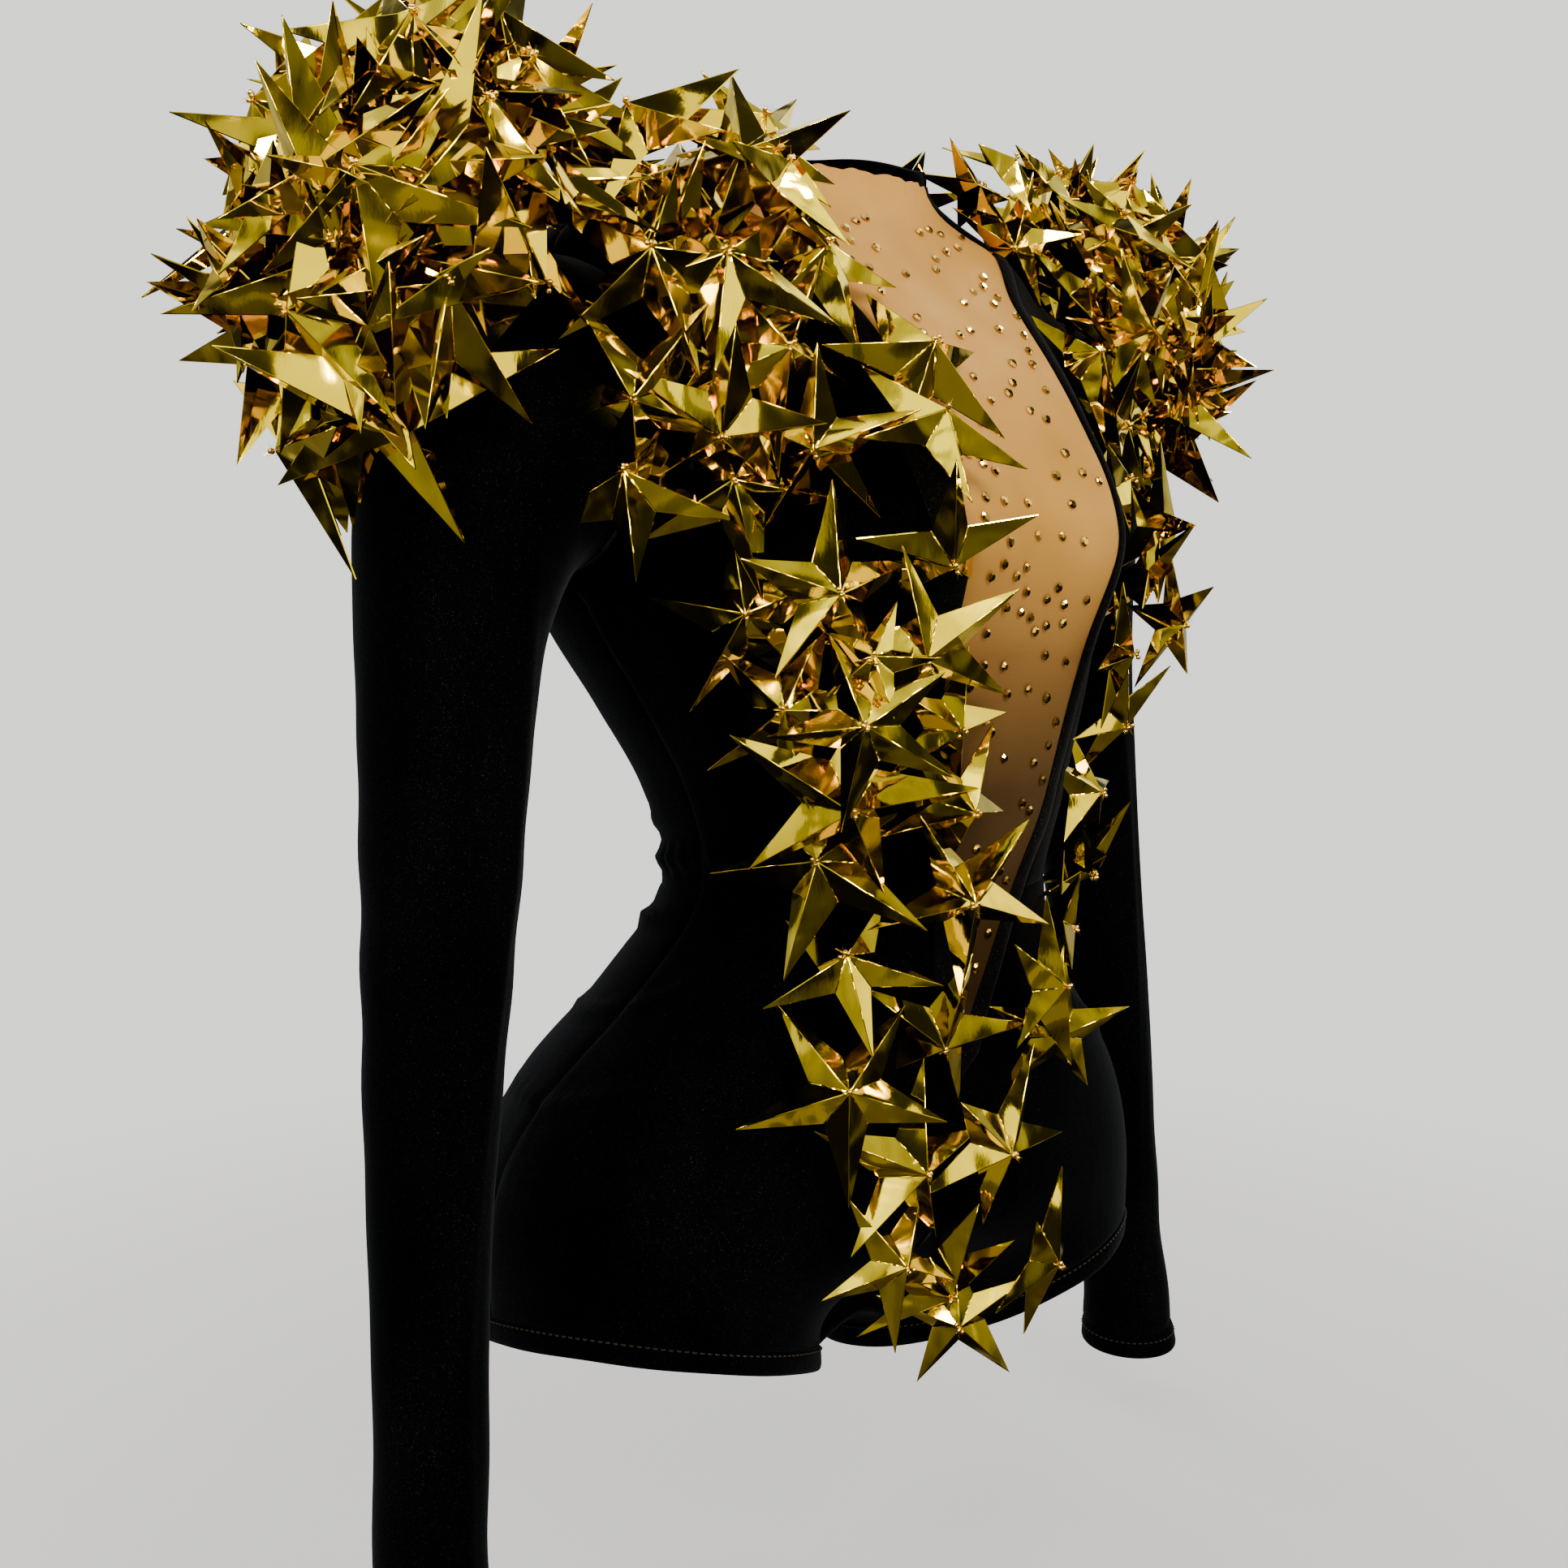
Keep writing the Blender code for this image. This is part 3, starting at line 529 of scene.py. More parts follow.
def add_node(tree, kind, inputs, **settings):
    node = tree.nodes.new(kind)
    for key, value in settings.items():
        setattr(node, key, value)
    feed(tree, node, inputs)
    return node


def position(tree):
    return add_node(tree, "ShaderNodeTexCoord", {}).outputs["Object"]


def noise(tree, scale, detail=2.0, stretch=None):
    source = position(tree)
    if stretch is not None:
        source = add_node(tree, "ShaderNodeMapping", {"Vector": source, "Scale": stretch}).outputs["Vector"]
    inputs = {"Vector": source, "Scale": scale, "Detail": detail}
    return add_node(tree, "ShaderNodeTexNoise", inputs).outputs["Fac"]


def ramp(tree, value, stops):
    node = add_node(tree, "ShaderNodeValToRGB", {"Fac": value})
    elements = node.color_ramp.elements
    while len(elements) < len(stops):
        elements.new(0.5)
    for element, (place, color) in zip(elements, stops):
        element.position = place
        element.color = (*color, 1.0)
    return node.outputs["Color"]


def greys(*stops):
    return [(place, (level,) * 3) for place, level in stops]


def map_range(tree, value, from_low, from_high, low=0.0, high=1.0, interpolation="LINEAR"):
    inputs = {"Value": value, "From Min": from_low, "From Max": from_high, "To Min": low, "To Max": high}
    node = add_node(tree, "ShaderNodeMapRange", inputs, interpolation_type=interpolation)
    return node.outputs["Result"]


def spread(tree, value, low, high):
    return map_range(tree, value, 0.3, 0.7, low, high)


def bump(tree, height, strength, distance, below=None):
    inputs = {"Height": height, "Strength": strength, "Distance": distance}
    if below is not None:
        inputs["Normal"] = below
    return add_node(tree, "ShaderNodeBump", inputs).outputs["Normal"]


def multiply(tree, first, second):
    inputs = {0: 1.0, 6: first, 7: second}
    return add_node(tree, "ShaderNodeMix", inputs, data_type="RGBA", blend_type="MULTIPLY").outputs[2]


def velvet_material(name, dark, light, glint_level, sheen):
    """Short pile: nearly black, with brushed patches, fine random tone and bright flecks painted in as
    glints of light on the pile.
    """
    mat, tree, shader = new_material(name, {
        "Sheen Weight": sheen,
        "Sheen Roughness": 0.32,
        "Sheen Tint": (0.72, 0.78, 0.86, 1.0),
        "Specular IOR Level": 0.0,
    })
    patches = ramp(tree, noise(tree, 26.0, 3.0, (1.0, 1.0, 0.35)), ((0.32, dark), (0.72, light)))
    # fine random tone in the pile, with rare bright specks that are painted glints of light
    tone_and_glints = ramp(tree, noise(tree, 1500.0, 1.0), greys((0.5, 0.55), (0.66, 1.0), (0.76, glint_level)))
    pile = bump(tree, noise(tree, 1300.0, 2.0), 0.55, 0.0005)
    feed(tree, shader, {
        "Base Color": multiply(tree, patches, tone_and_glints),
        "Roughness": spread(tree, noise(tree, 900.0, 1.0), 0.62, 0.92),
        "Normal": bump(tree, noise(tree, 70.0, 3.0, (1.0, 1.0, 0.3)), 0.16, 0.002, pile),
    })
    return mat


def weave(tree, scale):
    """Fine square net: two sets of thread ribs across each other."""
    inputs = {"Scale": scale, "Distortion": 0.8, "Detail Scale": 2.0}
    ribs = []
    for direction in ("X", "Z"):
        inputs["Vector"] = position(tree)
        ribs.append(add_node(tree, "ShaderNodeTexWave", inputs, bands_direction=direction).outputs["Color"])
    return multiply(tree, *ribs)


def mesh_material():
    """Sheer nude mesh over its lining, golden on the chest, with painted shade that darkens it to brown
    below the ribs.
    """
    mat, tree, shader = new_material("nude_mesh_cloth", {
        "Sheen Weight": 0.02,
        "Sheen Roughness": 0.4,
        "Sheen Tint": (1.0, 0.8, 0.55, 1.0),
        "Specular IOR Level": 0.06,
    })
    height = add_node(tree, "ShaderNodeSeparateXYZ", {0: position(tree)}).outputs["Z"]
    # painted shade: the base colour darkens from the bust down to the bottom of the V, standing in for the
    # shade there
    painted_shade = ramp(tree, map_range(tree, height, -0.06, 0.2), (
        (0.0, (0.05, 0.045, 0.045)),
        (0.42, (0.09, 0.09, 0.105)),
        (0.66, (0.3, 0.28, 0.27)),
        (0.92, (1.0, 1.0, 1.0)),
    ))
    glow = ramp(tree, noise(tree, 14.0, 2.0), (
        (0.3, (0.66, 0.32, 0.052)),
        (0.5, (0.76, 0.38, 0.075)),
        (0.7, (0.86, 0.445, 0.1)),
    ))
    net = ramp(tree, weave(tree, 320.0), greys((0.0, 0.86), (0.6, 1.0)))
    feed(tree, shader, {
        "Base Color": multiply(tree, multiply(tree, glow, painted_shade), net),
        "Roughness": spread(tree, noise(tree, 60.0, 2.0), 0.55, 0.7),
        "Normal": bump(tree, weave(tree, 320.0), 0.12, 0.0003),
    })
    return mat


def foil_material(name="gold_mirror_foil", color=(0.92, 0.715, 0.012), rough=0.02):
    mat, tree, shader = new_material(name, {"Metallic": 1.0, "Specular IOR Level": 0.5})
    deep = tuple(c * k for c, k in zip(color, (0.9, 0.86, 0.75)))
    scuffs = bump(tree, noise(tree, 420.0, 3.0, (1.0, 1.0, 0.4)), 0.05, 0.0003)
    feed(tree, shader, {
        "Base Color": ramp(tree, noise(tree, 22.0, 2.0), ((0.35, deep), (0.65, color))),
        "Roughness": spread(tree, noise(tree, 48.0, 4.0), rough, rough + 0.07),
        "Normal": bump(tree, noise(tree, 30.0, 1.0), 0.45, 0.005, scuffs),
    })
    return mat


def plain_material(name, dark, light, rough, metallic, scale, height):
    mat, tree, shader = new_material(name, {"Metallic": metallic})
    feed(tree, shader, {
        "Base Color": ramp(tree, noise(tree, scale, 3.0), ((0.35, dark), (0.65, light))),
        "Roughness": spread(tree, noise(tree, scale * 0.4, 3.0), rough, rough + 0.15),
        "Normal": bump(tree, noise(tree, scale, 2.0), 0.3, height),
    })
    return mat


# The value before the sheen weight is how bright the painted glints in the pile are.
VELVET_MAT = velvet_material(
    "black_stretch_velvet", (0.0008, 0.0009, 0.0009), (0.0026, 0.0028, 0.0028), 8.0, 0.075)
BINDING_MAT = velvet_material(
    "dark_velvet_binding", (0.004, 0.0038, 0.0036), (0.01, 0.0094, 0.0088), 6.0, 0.1)
NUDE_MAT = mesh_material()
FOIL_MAT = foil_material()
BEAD_MAT = foil_material("gold_seed_beads", (0.9, 0.66, 0.16), 0.16)
STONE_MAT = foil_material("champagne_stones", (0.82, 0.54, 0.12), 0.03)
THREAD_MAT = plain_material(
    "black_thread", (0.001, 0.001, 0.0012), (0.004, 0.004, 0.0045), 0.6, 0.0, 2400.0, 0.0002)
TAPE_MAT = plain_material(
    "woven_zip_tape", (0.006, 0.006, 0.006), (0.016, 0.016, 0.017), 0.7, 0.0, 1800.0, 0.0002)
COIL_MAT = plain_material(
    "nylon_zip_coil", (0.012, 0.012, 0.013), (0.03, 0.03, 0.032), 0.32, 0.0, 1200.0, 0.0001)
METAL_MAT = plain_material(
    "black_lacquered_metal", (0.02, 0.02, 0.022), (0.045, 0.045, 0.05), 0.22, 0.9, 500.0, 0.0001)


def finish_piece(obj, body, slot, *nodes):
    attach(obj, body)
    if nodes:
        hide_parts(*nodes)
    return obj


def velvet(node, grid, body, slot, mat=VELVET_MAT, **shape):
    """A velvet piece that stands for the CAD node whose name it takes."""
    finish_piece(cloth(f"{node}_velvet", grid, VELVET, mat, **shape), body, slot, node)


# ---------------------------------------------------------------- bodice and shorts

ROWS_UP = 96
COLS_ACROSS = 44


def on_body(side, stations):
    """A fold's line from (block angle in degrees, height) stations on one side of the body."""
    angles = np.radians([s[0] for s in stations])
    heights = np.array([s[1] for s in stations])
    return line_through(posture(block(heights, angles), side))


FOLDS = (
    (on_body(-1, ((100, 0.016), (60, 0.012), (25, 0.014), (-10, 0.024), (-35, 0.04))), 0.0075, 0.0042),
    (on_body(-1, ((95, -0.014), (60, -0.018), (28, -0.016), (0, -0.006))), 0.0065, 0.003),
    (on_body(-1, ((45, -0.062), (20, -0.06), (-5, -0.048), (-28, -0.024))), 0.0055, 0.002),
    (on_body(-1, ((25, -0.098), (0, -0.096), (-25, -0.084), (-50, -0.052), (-66, -0.022))), 0.007, 0.003),
    (on_body(-1, ((12, -0.128), (-15, -0.13), (-40, -0.116), (-64, -0.084))), 0.008, 0.0024),
    (on_body(1, ((95, 0.012), (55, 0.008), (20, 0.01), (-15, 0.02))), 0.0075, 0.0034),
    (on_body(1, ((90, -0.02), (55, -0.024), (20, -0.018))), 0.0065, 0.0022),
    (on_body(1, ((20, -0.1), (-8, -0.096), (-35, -0.08), (-58, -0.052))), 0.0075, 0.0022),
    (on_body(-1, ((20, 0.142), (-12, 0.15), (-35, 0.16))), 0.006, 0.0018),
    (on_body(-1, ((15, 0.118), (-15, 0.124), (-38, 0.14))), 0.006, 0.0014),
    (on_body(1, ((20, 0.142), (-12, 0.15), (-35, 0.16))), 0.006, 0.0018),
    (on_body(-1, ((160 - 90, 0.036), (45, 0.03), (20, 0.036))), 0.006, 0.0018),
    (on_body(1, ((70, 0.036), (45, 0.03), (20, 0.036))), 0.006, 0.0018),
)


def panel_relief(grid, seed, roll=0.001):
    relief = crease_relief(grid, FOLDS) + ripple(grid, 0.02, 0.0007, seed)
    rows, cols = grid.shape[:2]
    hold = np.ones((rows, cols))
    steps = np.minimum(np.arange(rows), np.arange(rows)[::-1])
    hold *= smooth(steps / 6.0)[:, None]
    steps = np.minimum(np.arange(cols), np.arange(cols)[::-1])
    hold *= smooth(steps / 4.0)[None, :]
    return relief * (0.35 + 0.65 * hold) + edge_roll(rows, cols, depth=roll)


def make_bodice():
    top = COLLAR_Z
    low = WAIST_Z - SEAM_OVERLAP
    heights = low + (top - low) * close_steps(ROWS_UP, length=0.36)
    steps = close_steps(COLS_ACROSS)
    for side, word in SIDES:
        for front, part in ((True, "front"), (False, "back")):
            grid = posture(bodice_point(heights[:, None], steps[None, :], front), side)
            relief = panel_relief(grid, 3 + 2 * side + front)
            velvet(f"{word}_{part}_bodice", grid, "torso", "black_velvet", relief=relief)


def between(z, start, end, steps, side):
    """The body's surface at heights z, in steps from one block angle to another."""
    return posture(block(z[:, None], start[:, None] + (end - start)[:, None] * steps[None, :]), side)


def across_centre(z, centre, edge, span):
    """The surface on both sides of the centre line, as far as an edge angle on each."""
    points = block(z[:, None], centre + (edge - centre)[:, None] * np.abs(span)[None, :])
    return np.where((span > 0.0)[None, :, None], posture(points, 1), posture(points, -1))


PANEL_TUCK = 0.4 * BINDING  # how far the sheer panel runs under its binding
GATHER_Z = 0.362


def make_plunge_panel():
    heights = np.concatenate([np.linspace(-0.088, 0.0, 26)[:-1], np.linspace(0.0, COLLAR_Z, 84)])
    span = np.linspace(-1.0, 1.0, 61)
    tuck = smooth((heights - BINDING_END_Z) / 0.016)
    edge = angle_at(heights, plunge_edge(heights) + PANEL_TUCK * tuck, True)
    grid = across_centre(heights, -math.pi / 2, edge, span)
    grid[-1, :, 2] += 0.0006 * np.sin(span * 17.0) + 0.0003 * np.sin(span * 37.0 + 1.0)
    relief = ripple(grid, 0.016, 0.0005, 9)
    gather = np.exp(-(((heights - GATHER_Z) / 0.006) ** 2))[:, None]
    relief += 0.0006 * gather * np.sin(span * 40.0)[None, :]
    relief -= 0.0004 + 0.0013 * smooth((np.abs(span) - 0.8) / 0.16)[None, :]
    piece = cloth("plunge_mesh", grid, MESH_CLOTH, NUDE_MAT, relief=relief)
    finish_piece(piece, "torso", "nude_mesh", "plunge_mesh_panel")


def make_bindings():
    heights = np.concatenate([np.linspace(-0.092, 0.0, 28)[:-1], np.linspace(0.0, COLLAR_Z, 90)])
    span = np.linspace(0.0, 1.0, 9)
    crown = 0.0013 * np.sin(math.pi * span) ** 0.5
    for side, word in SIDES:
        inner = angle_at(heights, plunge_edge(heights) + SEAM / 2, True)
        outer = np.maximum(angle_at(heights, velvet_edge(heights) + SEAM_OVERLAP, True), inner + 0.004)
        grid = between(heights, inner, outer, span, side)
        relief = np.repeat(crown[None, :], len(heights), axis=0) + ripple(grid, 0.006, 0.0003, 15 + side)
        velvet(f"{word}_plunge_binding", grid, "torso", "velvet_binding", BINDING_MAT, relief=relief)

        z = np.linspace(COLLAR_Z - SEAM_OVERLAP, COLLAR_Z + COLLAR_BAND, 7)
        start = angle_at(z, plunge_edge(COLLAR_Z), True)
        end = angle_at(z, BACK_EDGE_X, False)
        grid = between(z, start, end, np.linspace(0.0, 1.0, 50), side)
        relief = 0.001 * np.sin(math.pi * np.linspace(0.0, 1.0, 7)) ** 0.5
        relief = np.repeat(relief[:, None], 50, axis=1)
        velvet(f"{word}_neck_binding", grid, "torso", "velvet_binding", BINDING_MAT, relief=relief)


PLACKET_FROM = 0.299
PLACKET_LAP = 0.006


def make_placket():
    """The underlap behind the back opening, between the top of the zip and the hook."""
    heights = np.linspace(PLACKET_FROM, COLLAR_Z - SEAM, 24)
    span = np.linspace(-1.0, 1.0, 15)
    edge = angle_at(heights, np.full_like(heights, BACK_EDGE_X + PLACKET_LAP), False)
    grid = across_centre(heights, math.pi / 2, edge, span)
    relief = np.full(grid.shape[:2], -VELVET - 0.0004)
    piece = cloth("back_placket_velvet", grid, VELVET, VELVET_MAT, relief=relief)
    finish_piece(piece, "torso", "black_velvet")


INNER_SEAM = math.radians(150.0)  # leg angle where the shorts meet the gusset


def shorts_grid(side, front):
    sign = -1.0 if front else 1.0
    rows = close_steps(66, length=0.22)[:, None]
    cols = close_steps(50)[None, :]
    leg_angle = sign * INNER_SEAM * (1.0 - cols)
    end = hem_height(leg_angle) + HEM_BAND - SEAM_OVERLAP
    z = SEAM_OVERLAP + (end - SEAM_OVERLAP) * rows
    edge_x = np.where(z > BINDING_END_Z, velvet_edge(z), 0.0) if front else np.zeros_like(z)
    hip_angle = angle_at(z, edge_x, front) * (1.0 - cols)
    share = leg_share(z)[..., None]
    hip = block(z, hip_angle)
    return posture(hip * (1.0 - share) + leg_ring(z, leg_angle) * share, side)


def make_shorts():
    for side, word in SIDES:
        for front, part in ((True, "front"), (False, "back")):
            grid = shorts_grid(side, front)
            relief = panel_relief(grid, 21 + 2 * side + front)
            velvet(f"{word}_{part}_shorts", grid, "torso", "black_velvet", relief=relief)

        turns = -math.pi + 2.0 * math.pi * (np.arange(96) + 0.5) / 96
        drops = np.array([0.0, 0.08, 0.25, 0.5, 0.75, 0.92, 1.0])
        z = hem_height(turns)[None, :] + HEM_BAND * (1.0 - drops)[:, None]
        grid = posture(leg_point(z, np.repeat(turns[None, :], len(drops), axis=0)), side)
        crown = np.array([-0.0008, 0.0, 0.0003, 0.0004, 0.0004, 0.0, -0.0006])
        relief = crown[:, None] + 0.0004 * np.sin(turns * 9.0 + side)[None, :] * drops[:, None]
        velvet(f"{word}_leg_hem", grid, "torso", "velvet_binding", around=True, relief=relief)


GUSSET_RISE = 0.055  # how far its ends run up behind the centre seams
GUSSET_LAP = 0.0042  # how far the gusset runs under the shorts at each side


def gusset_edge(s):
    """The gusset's edge for s from 0, in front, to 1, behind."""
    third = 0.36
    if s < third or s > 1.0 - third:
        t = (s if s < 0.5 else 1.0 - s) / third
        leg_angle = -INNER_SEAM if s < 0.5 else INNER_SEAM
        low = hem_height(leg_angle) + HEM_BAND - SEAM_OVERLAP
        z = (SEAM_SPLIT_Z + GUSSET_RISE) * (1.0 - t) + low * t
    else:
        t = (s - third) / (1.0 - 2.0 * third)
        leg_angle = math.radians(-150.0 - 60.0 * t)
        z = hem_height(leg_angle) + HEM_BAND - SEAM_OVERLAP
    share = leg_share(np.array(z))
    hip = block(z, -math.pi / 2 if s < 0.5 else math.pi / 2)
    point = hip * (1.0 - share) + leg_ring(np.array(z), np.array(leg_angle)) * share
    point[0] = point[0] + GUSSET_LAP
    return point


def make_gusset():
    grid = []
    across = np.linspace(-1.0, 1.0, 25)
    for s in np.linspace(0.0, 1.0, 61):
        edge = gusset_edge(s)
        middle = np.array([0.0, edge[1], edge[2] + 0.016 * math.sin(math.pi * s) ** 2])
        row = []
        for t in across:
            point = middle + (edge - middle) * abs(t) ** 1.6
            point[0] = edge[0] * abs(t)
            row.append(posture(point, 1 if t > 0 else -1))
        grid.append(row)
    grid = np.array(grid)
    velvet("crotch_gusset", grid, "torso", "black_velvet")


# ---------------------------------------------------------------- sleeves


ARMHOLE_TUCK = 0.0032  # how far the sleeve's round top edge runs inside the armhole


def sleeve_rings(places, sides, side):
    """Rings of points at places along the SLEEVE table, as fractions of a row."""
    table = np.array([(k, *row) for k, row in enumerate(SLEEVE)])
    columns = [curve_value(table, places, k) for k in range(1, 7)]
    top_x, top_z, low_x, low_z, depth, centre_y = (c[:, None] for c in columns)
    turn = (2.0 * math.pi * np.arange(sides) / sides)[None, :]
    x = (top_x + low_x) / 2.0 + (top_x - low_x) / 2.0 * np.cos(turn)
    z = (top_z + low_z) / 2.0 + (top_z - low_z) / 2.0 * np.cos(turn)
    y = centre_y + depth * np.sin(turn)
    return np.stack([side * x, y, z + SHOULDER_LEAN * ARM_X * side], axis=-1)


def sleeve_relief(grid, places, sides, side):
    """Long soft creases down the sleeve, and short ones inside the elbow and over the cuff."""
    turn = (2.0 * math.pi * np.arange(sides) / sides)[None, :]
    place = places[:, None]
    middle = smooth((place - 2.2) / 2.0) * smooth((12.5 - place) / 1.5)
    drift = 0.22 * np.sin(place * 0.9 + side)
    relief = 0.0013 * middle * np.exp(-(((turn - 4.45 - drift) / 0.16) ** 2))
    relief += 0.001 * middle * np.exp(-(((turn - 5.35 + drift) / 0.14) ** 2))
    relief += 0.0009 * middle * np.exp(-(((turn - 1.6 - drift) / 0.2) ** 2))
    elbow = np.exp(-(((place - 7.4) / 1.3) ** 2))
    relief += 0.001 * elbow * np.sin(place * 8.5 + 1.3 * np.sin(turn)) * (0.5 + 0.5 * np.sin(turn - 0.4))
    wrist = smooth((place - 9.0) / 2.5) * smooth((12.9 - place) / 0.8)
    relief += 0.0007 * wrist * np.sin(place * 6.5 + 2.0 * np.cos(turn + side))
    return relief + ripple(grid, 0.022, 0.0007, 40 + side)


def make_sleeves():
    sides = 72
    for side, word in SIDES:
        body = f"{word}_sleeve_body"
        length = np.linspace(0.2, CUFF_START - 0.04, 120)
        places = np.concatenate([[0.0, 0.05, 0.12], length, [CUFF_START + 0.01]])
        grid = sleeve_rings(places, sides, side)
        grid[0, :, 0] -= side * ARMHOLE_TUCK
        relief = sleeve_relief(grid, places, sides, side)
        for k, amount in ((0, 0.0012), (1, 0.0005), (-1, 0.0009), (-2, 0.0002)):
            relief[k, :] -= amount
        velvet(f"{word}_sleeve", grid, body, "black_velvet", around=True, relief=relief)

        places = CUFF_START + np.array([0.0, 0.08, 0.25, 0.5, 0.75, 0.93, 1.0])
        grid = sleeve_rings(places, sides, side)
        crown = np.array([-0.0006, 0.0002, 0.0004, 0.0005, 0.0005, 0.0001, -0.0006])
        relief = np.repeat(crown[:, None], sides, axis=1)
        velvet(f"{word}_cuff_hem", grid, body, "velvet_binding", around=True, relief=relief)


# ---------------------------------------------------------------- stitching


THREAD_LIFT = 0.0003


def stitch_run(points, lifts, length=0.0022, gap=0.0014, width=0.00035):
    """Short raised stitches along a line on the cloth."""
    verts, faces = [], []
    run = np.concatenate([[0.0], np.cumsum(np.linalg.norm(np.diff(points, axis=0), axis=1))])
    start = 0.0
    while start + length < run[-1]:
        ends = []
        for s in (start, start + length):
            place = np.array([np.interp(s, run, points[:, k]) for k in range(3)])
            lift = np.array([np.interp(s, run, lifts[:, k]) for k in range(3)])
            ends.append((place, lift / np.linalg.norm(lift)))
        (a, na), (b, _) = ends
        side = np.cross(b - a, na)
        side = side / max(np.linalg.norm(side), 1e-9) * width
        top = (a + b) / 2.0 + na * 2.2 * width
        base = len(verts)
        verts += [a - side, a + side, b + side, b - side, top - side * 0.6, top + side * 0.6]
        faces += [(0, 1, 5, 4), (1, 2, 5), (5, 2, 3, 4), (3, 0, 4), (3, 2, 1, 0)]
        faces[-5:] = [tuple(base + k for k in face) for face in faces[-5:]]
        start += length + gap
    return verts, faces


def sew(name, line, lifts, body):
    lifts = lifts / np.linalg.norm(lifts, axis=1, keepdims=True)
    verts, faces = stitch_run(line + lifts * THREAD_LIFT, lifts)
    finish_piece(add_mesh(name, verts, faces, THREAD_MAT, 40.0), body, "black_velvet")


def make_stitching():
    for side, word in SIDES:
        turns = np.linspace(-math.pi, math.pi, 181)
        z = hem_height(turns) + HEM_BAND - 0.0016
        line = posture(leg_point(z, turns), side)
        below = posture(leg_point(z - 0.002, turns), side)
        lifts = np.cross(np.gradient(line, axis=0), below - line)
        lifts *= np.sign(np.sum(lifts * (line - line.mean(axis=0)), axis=1))[:, None]
        sew(f"{word}_leg_hem_stitches", line, lifts, "torso")

        ring = sleeve_rings(np.array([CUFF_START + 0.16]), 96, side)[0]
        ring = np.concatenate([ring, ring[:1]])
        lifts = (ring - ring.mean(axis=0)) * np.array([1.0, 1.0, 0.0])
        sew(f"{word}_cuff_stitches", ring, lifts, f"{word}_sleeve_body")


# ---------------------------------------------------------------- foil stars

STAR_NOTCH = 0.34
STAR_LIFT = 0.0085
PILED_TILT = 0.55
RIDGE = 0.00034  # half width of a folded edge
FOIL = 0.0005


def unit(v):
    return v / max(np.linalg.norm(v), 1e-9)


def star_shape(radius, rise, rng):
    """A folded foil star about the origin, facing +Z: points, faces, and which faces are smooth."""
    apex = np.array([0.0, 0.0, rise * radius])
    rim = []
    for k in range(10):
        tip = k % 2 == 0
        angle = math.pi * k / 5 + rng.normal(0.0, 0.03)
        reach = radius * (rng.uniform(0.96, 1.1) if tip else STAR_NOTCH * rng.uniform(0.95, 1.06))
        height = radius * (rng.normal(-0.06, 0.11) if tip else rng.normal(0.0, 0.015))
        rim.append(np.array([reach * math.sin(angle), reach * math.cos(angle), height]))
    points = [apex + np.array([0.0, 0.0, -FOIL])]
    points += rim
    points += [p + np.array([0.0, 0.0, -FOIL]) for p in rim]
    flats, ridges, inset = [], [], []
    for k in range(10):
        a, b = rim[k], rim[(k + 1) % 10]
        to_a, to_b = unit(a - apex), unit(b - apex)
        half = math.acos(np.clip(np.dot(to_a, to_b), -1.0, 1.0)) / 2.0
        near = apex + unit(to_a + to_b) * RIDGE / math.sin(half)
        along = unit(b - a)
        sin_a, sin_b = (max(np.linalg.norm(np.cross(along, v)), 0.2) for v in (to_a, to_b))
        base = len(points)
        points += [near, a + along * RIDGE / sin_a, b - along * RIDGE / sin_b]
        inset.append(base)
        flats.append((base, base + 2, base + 1))
    for k in range(10):
        before, after = inset[k - 1], inset[k]
        j = (k + 1) % 10
        ridges.append((before, after, after + 1, 1 + k, before + 2))
        flats += [(1 + k, after + 1, after + 2, 1 + j, 11 + j, 11 + k), (0, 11 + k, 11 + j)]
    ridges.append(tuple(reversed(inset)))
    faces = flats + ridges
    rounded = [False] * len(flats) + [True] * len(ridges)
    return np.array(points), faces, rounded


def frame_for(normal, up, turn):
    """Axes of a star: across, along and out, turned in its own plane."""
    normal = unit(normal)
    across = unit(np.cross(up, normal))
    along = np.cross(normal, across)
    c, s = math.cos(turn), math.sin(turn)
    return np.stack([across * c - along * s, across * s + along * c, normal], axis=0)


class Heap:
    """Collects many small shapes into one mesh."""

    def __init__(self):
        self.points, self.faces, self.smooth = [], [], []

    def add(self, points, faces, smooth_faces):
        shift = sum(len(p) for p in self.points)
        self.points.append(np.asarray(points, float))
        self.faces += [tuple(shift + k for k in face) for face in faces]
        self.smooth += list(smooth_faces)

    def build(self, name, mat):
        return add_mesh(name, np.concatenate(self.points), self.faces, mat, smooth_faces=self.smooth)


def bead_shape(radius):
    """A small faceted bead."""
    rings = [(0.0, 1.0)] + [(math.sin(a), math.cos(a)) for a in (0.7, 1.3, 1.9, 2.5)] + [(0.0, -1.0)]
    sides = 8
    points, faces = [], []
    for r, h in rings[1:-1]:
        points += [(r * math.cos(t), r * math.sin(t), h) for t in np.arange(sides) * 2.0 * math.pi / sides]
    top, bottom = len(points), len(points) + 1
    points += [(0.0, 0.0, 1.0), (0.0, 0.0, -1.0)]
    for k in range(len(rings) - 3):
        for c in range(sides):
            d = (c + 1) % sides
            faces.append((k * sides + c, (k + 1) * sides + c, (k + 1) * sides + d, k * sides + d))
    last = (len(rings) - 3) * sides
    for c in range(sides):
        d = (c + 1) % sides
        faces.append((top, c, d))
        faces.append((bottom, last + d, last + c))
    return np.array(points) * radius, faces, [True] * len(faces)


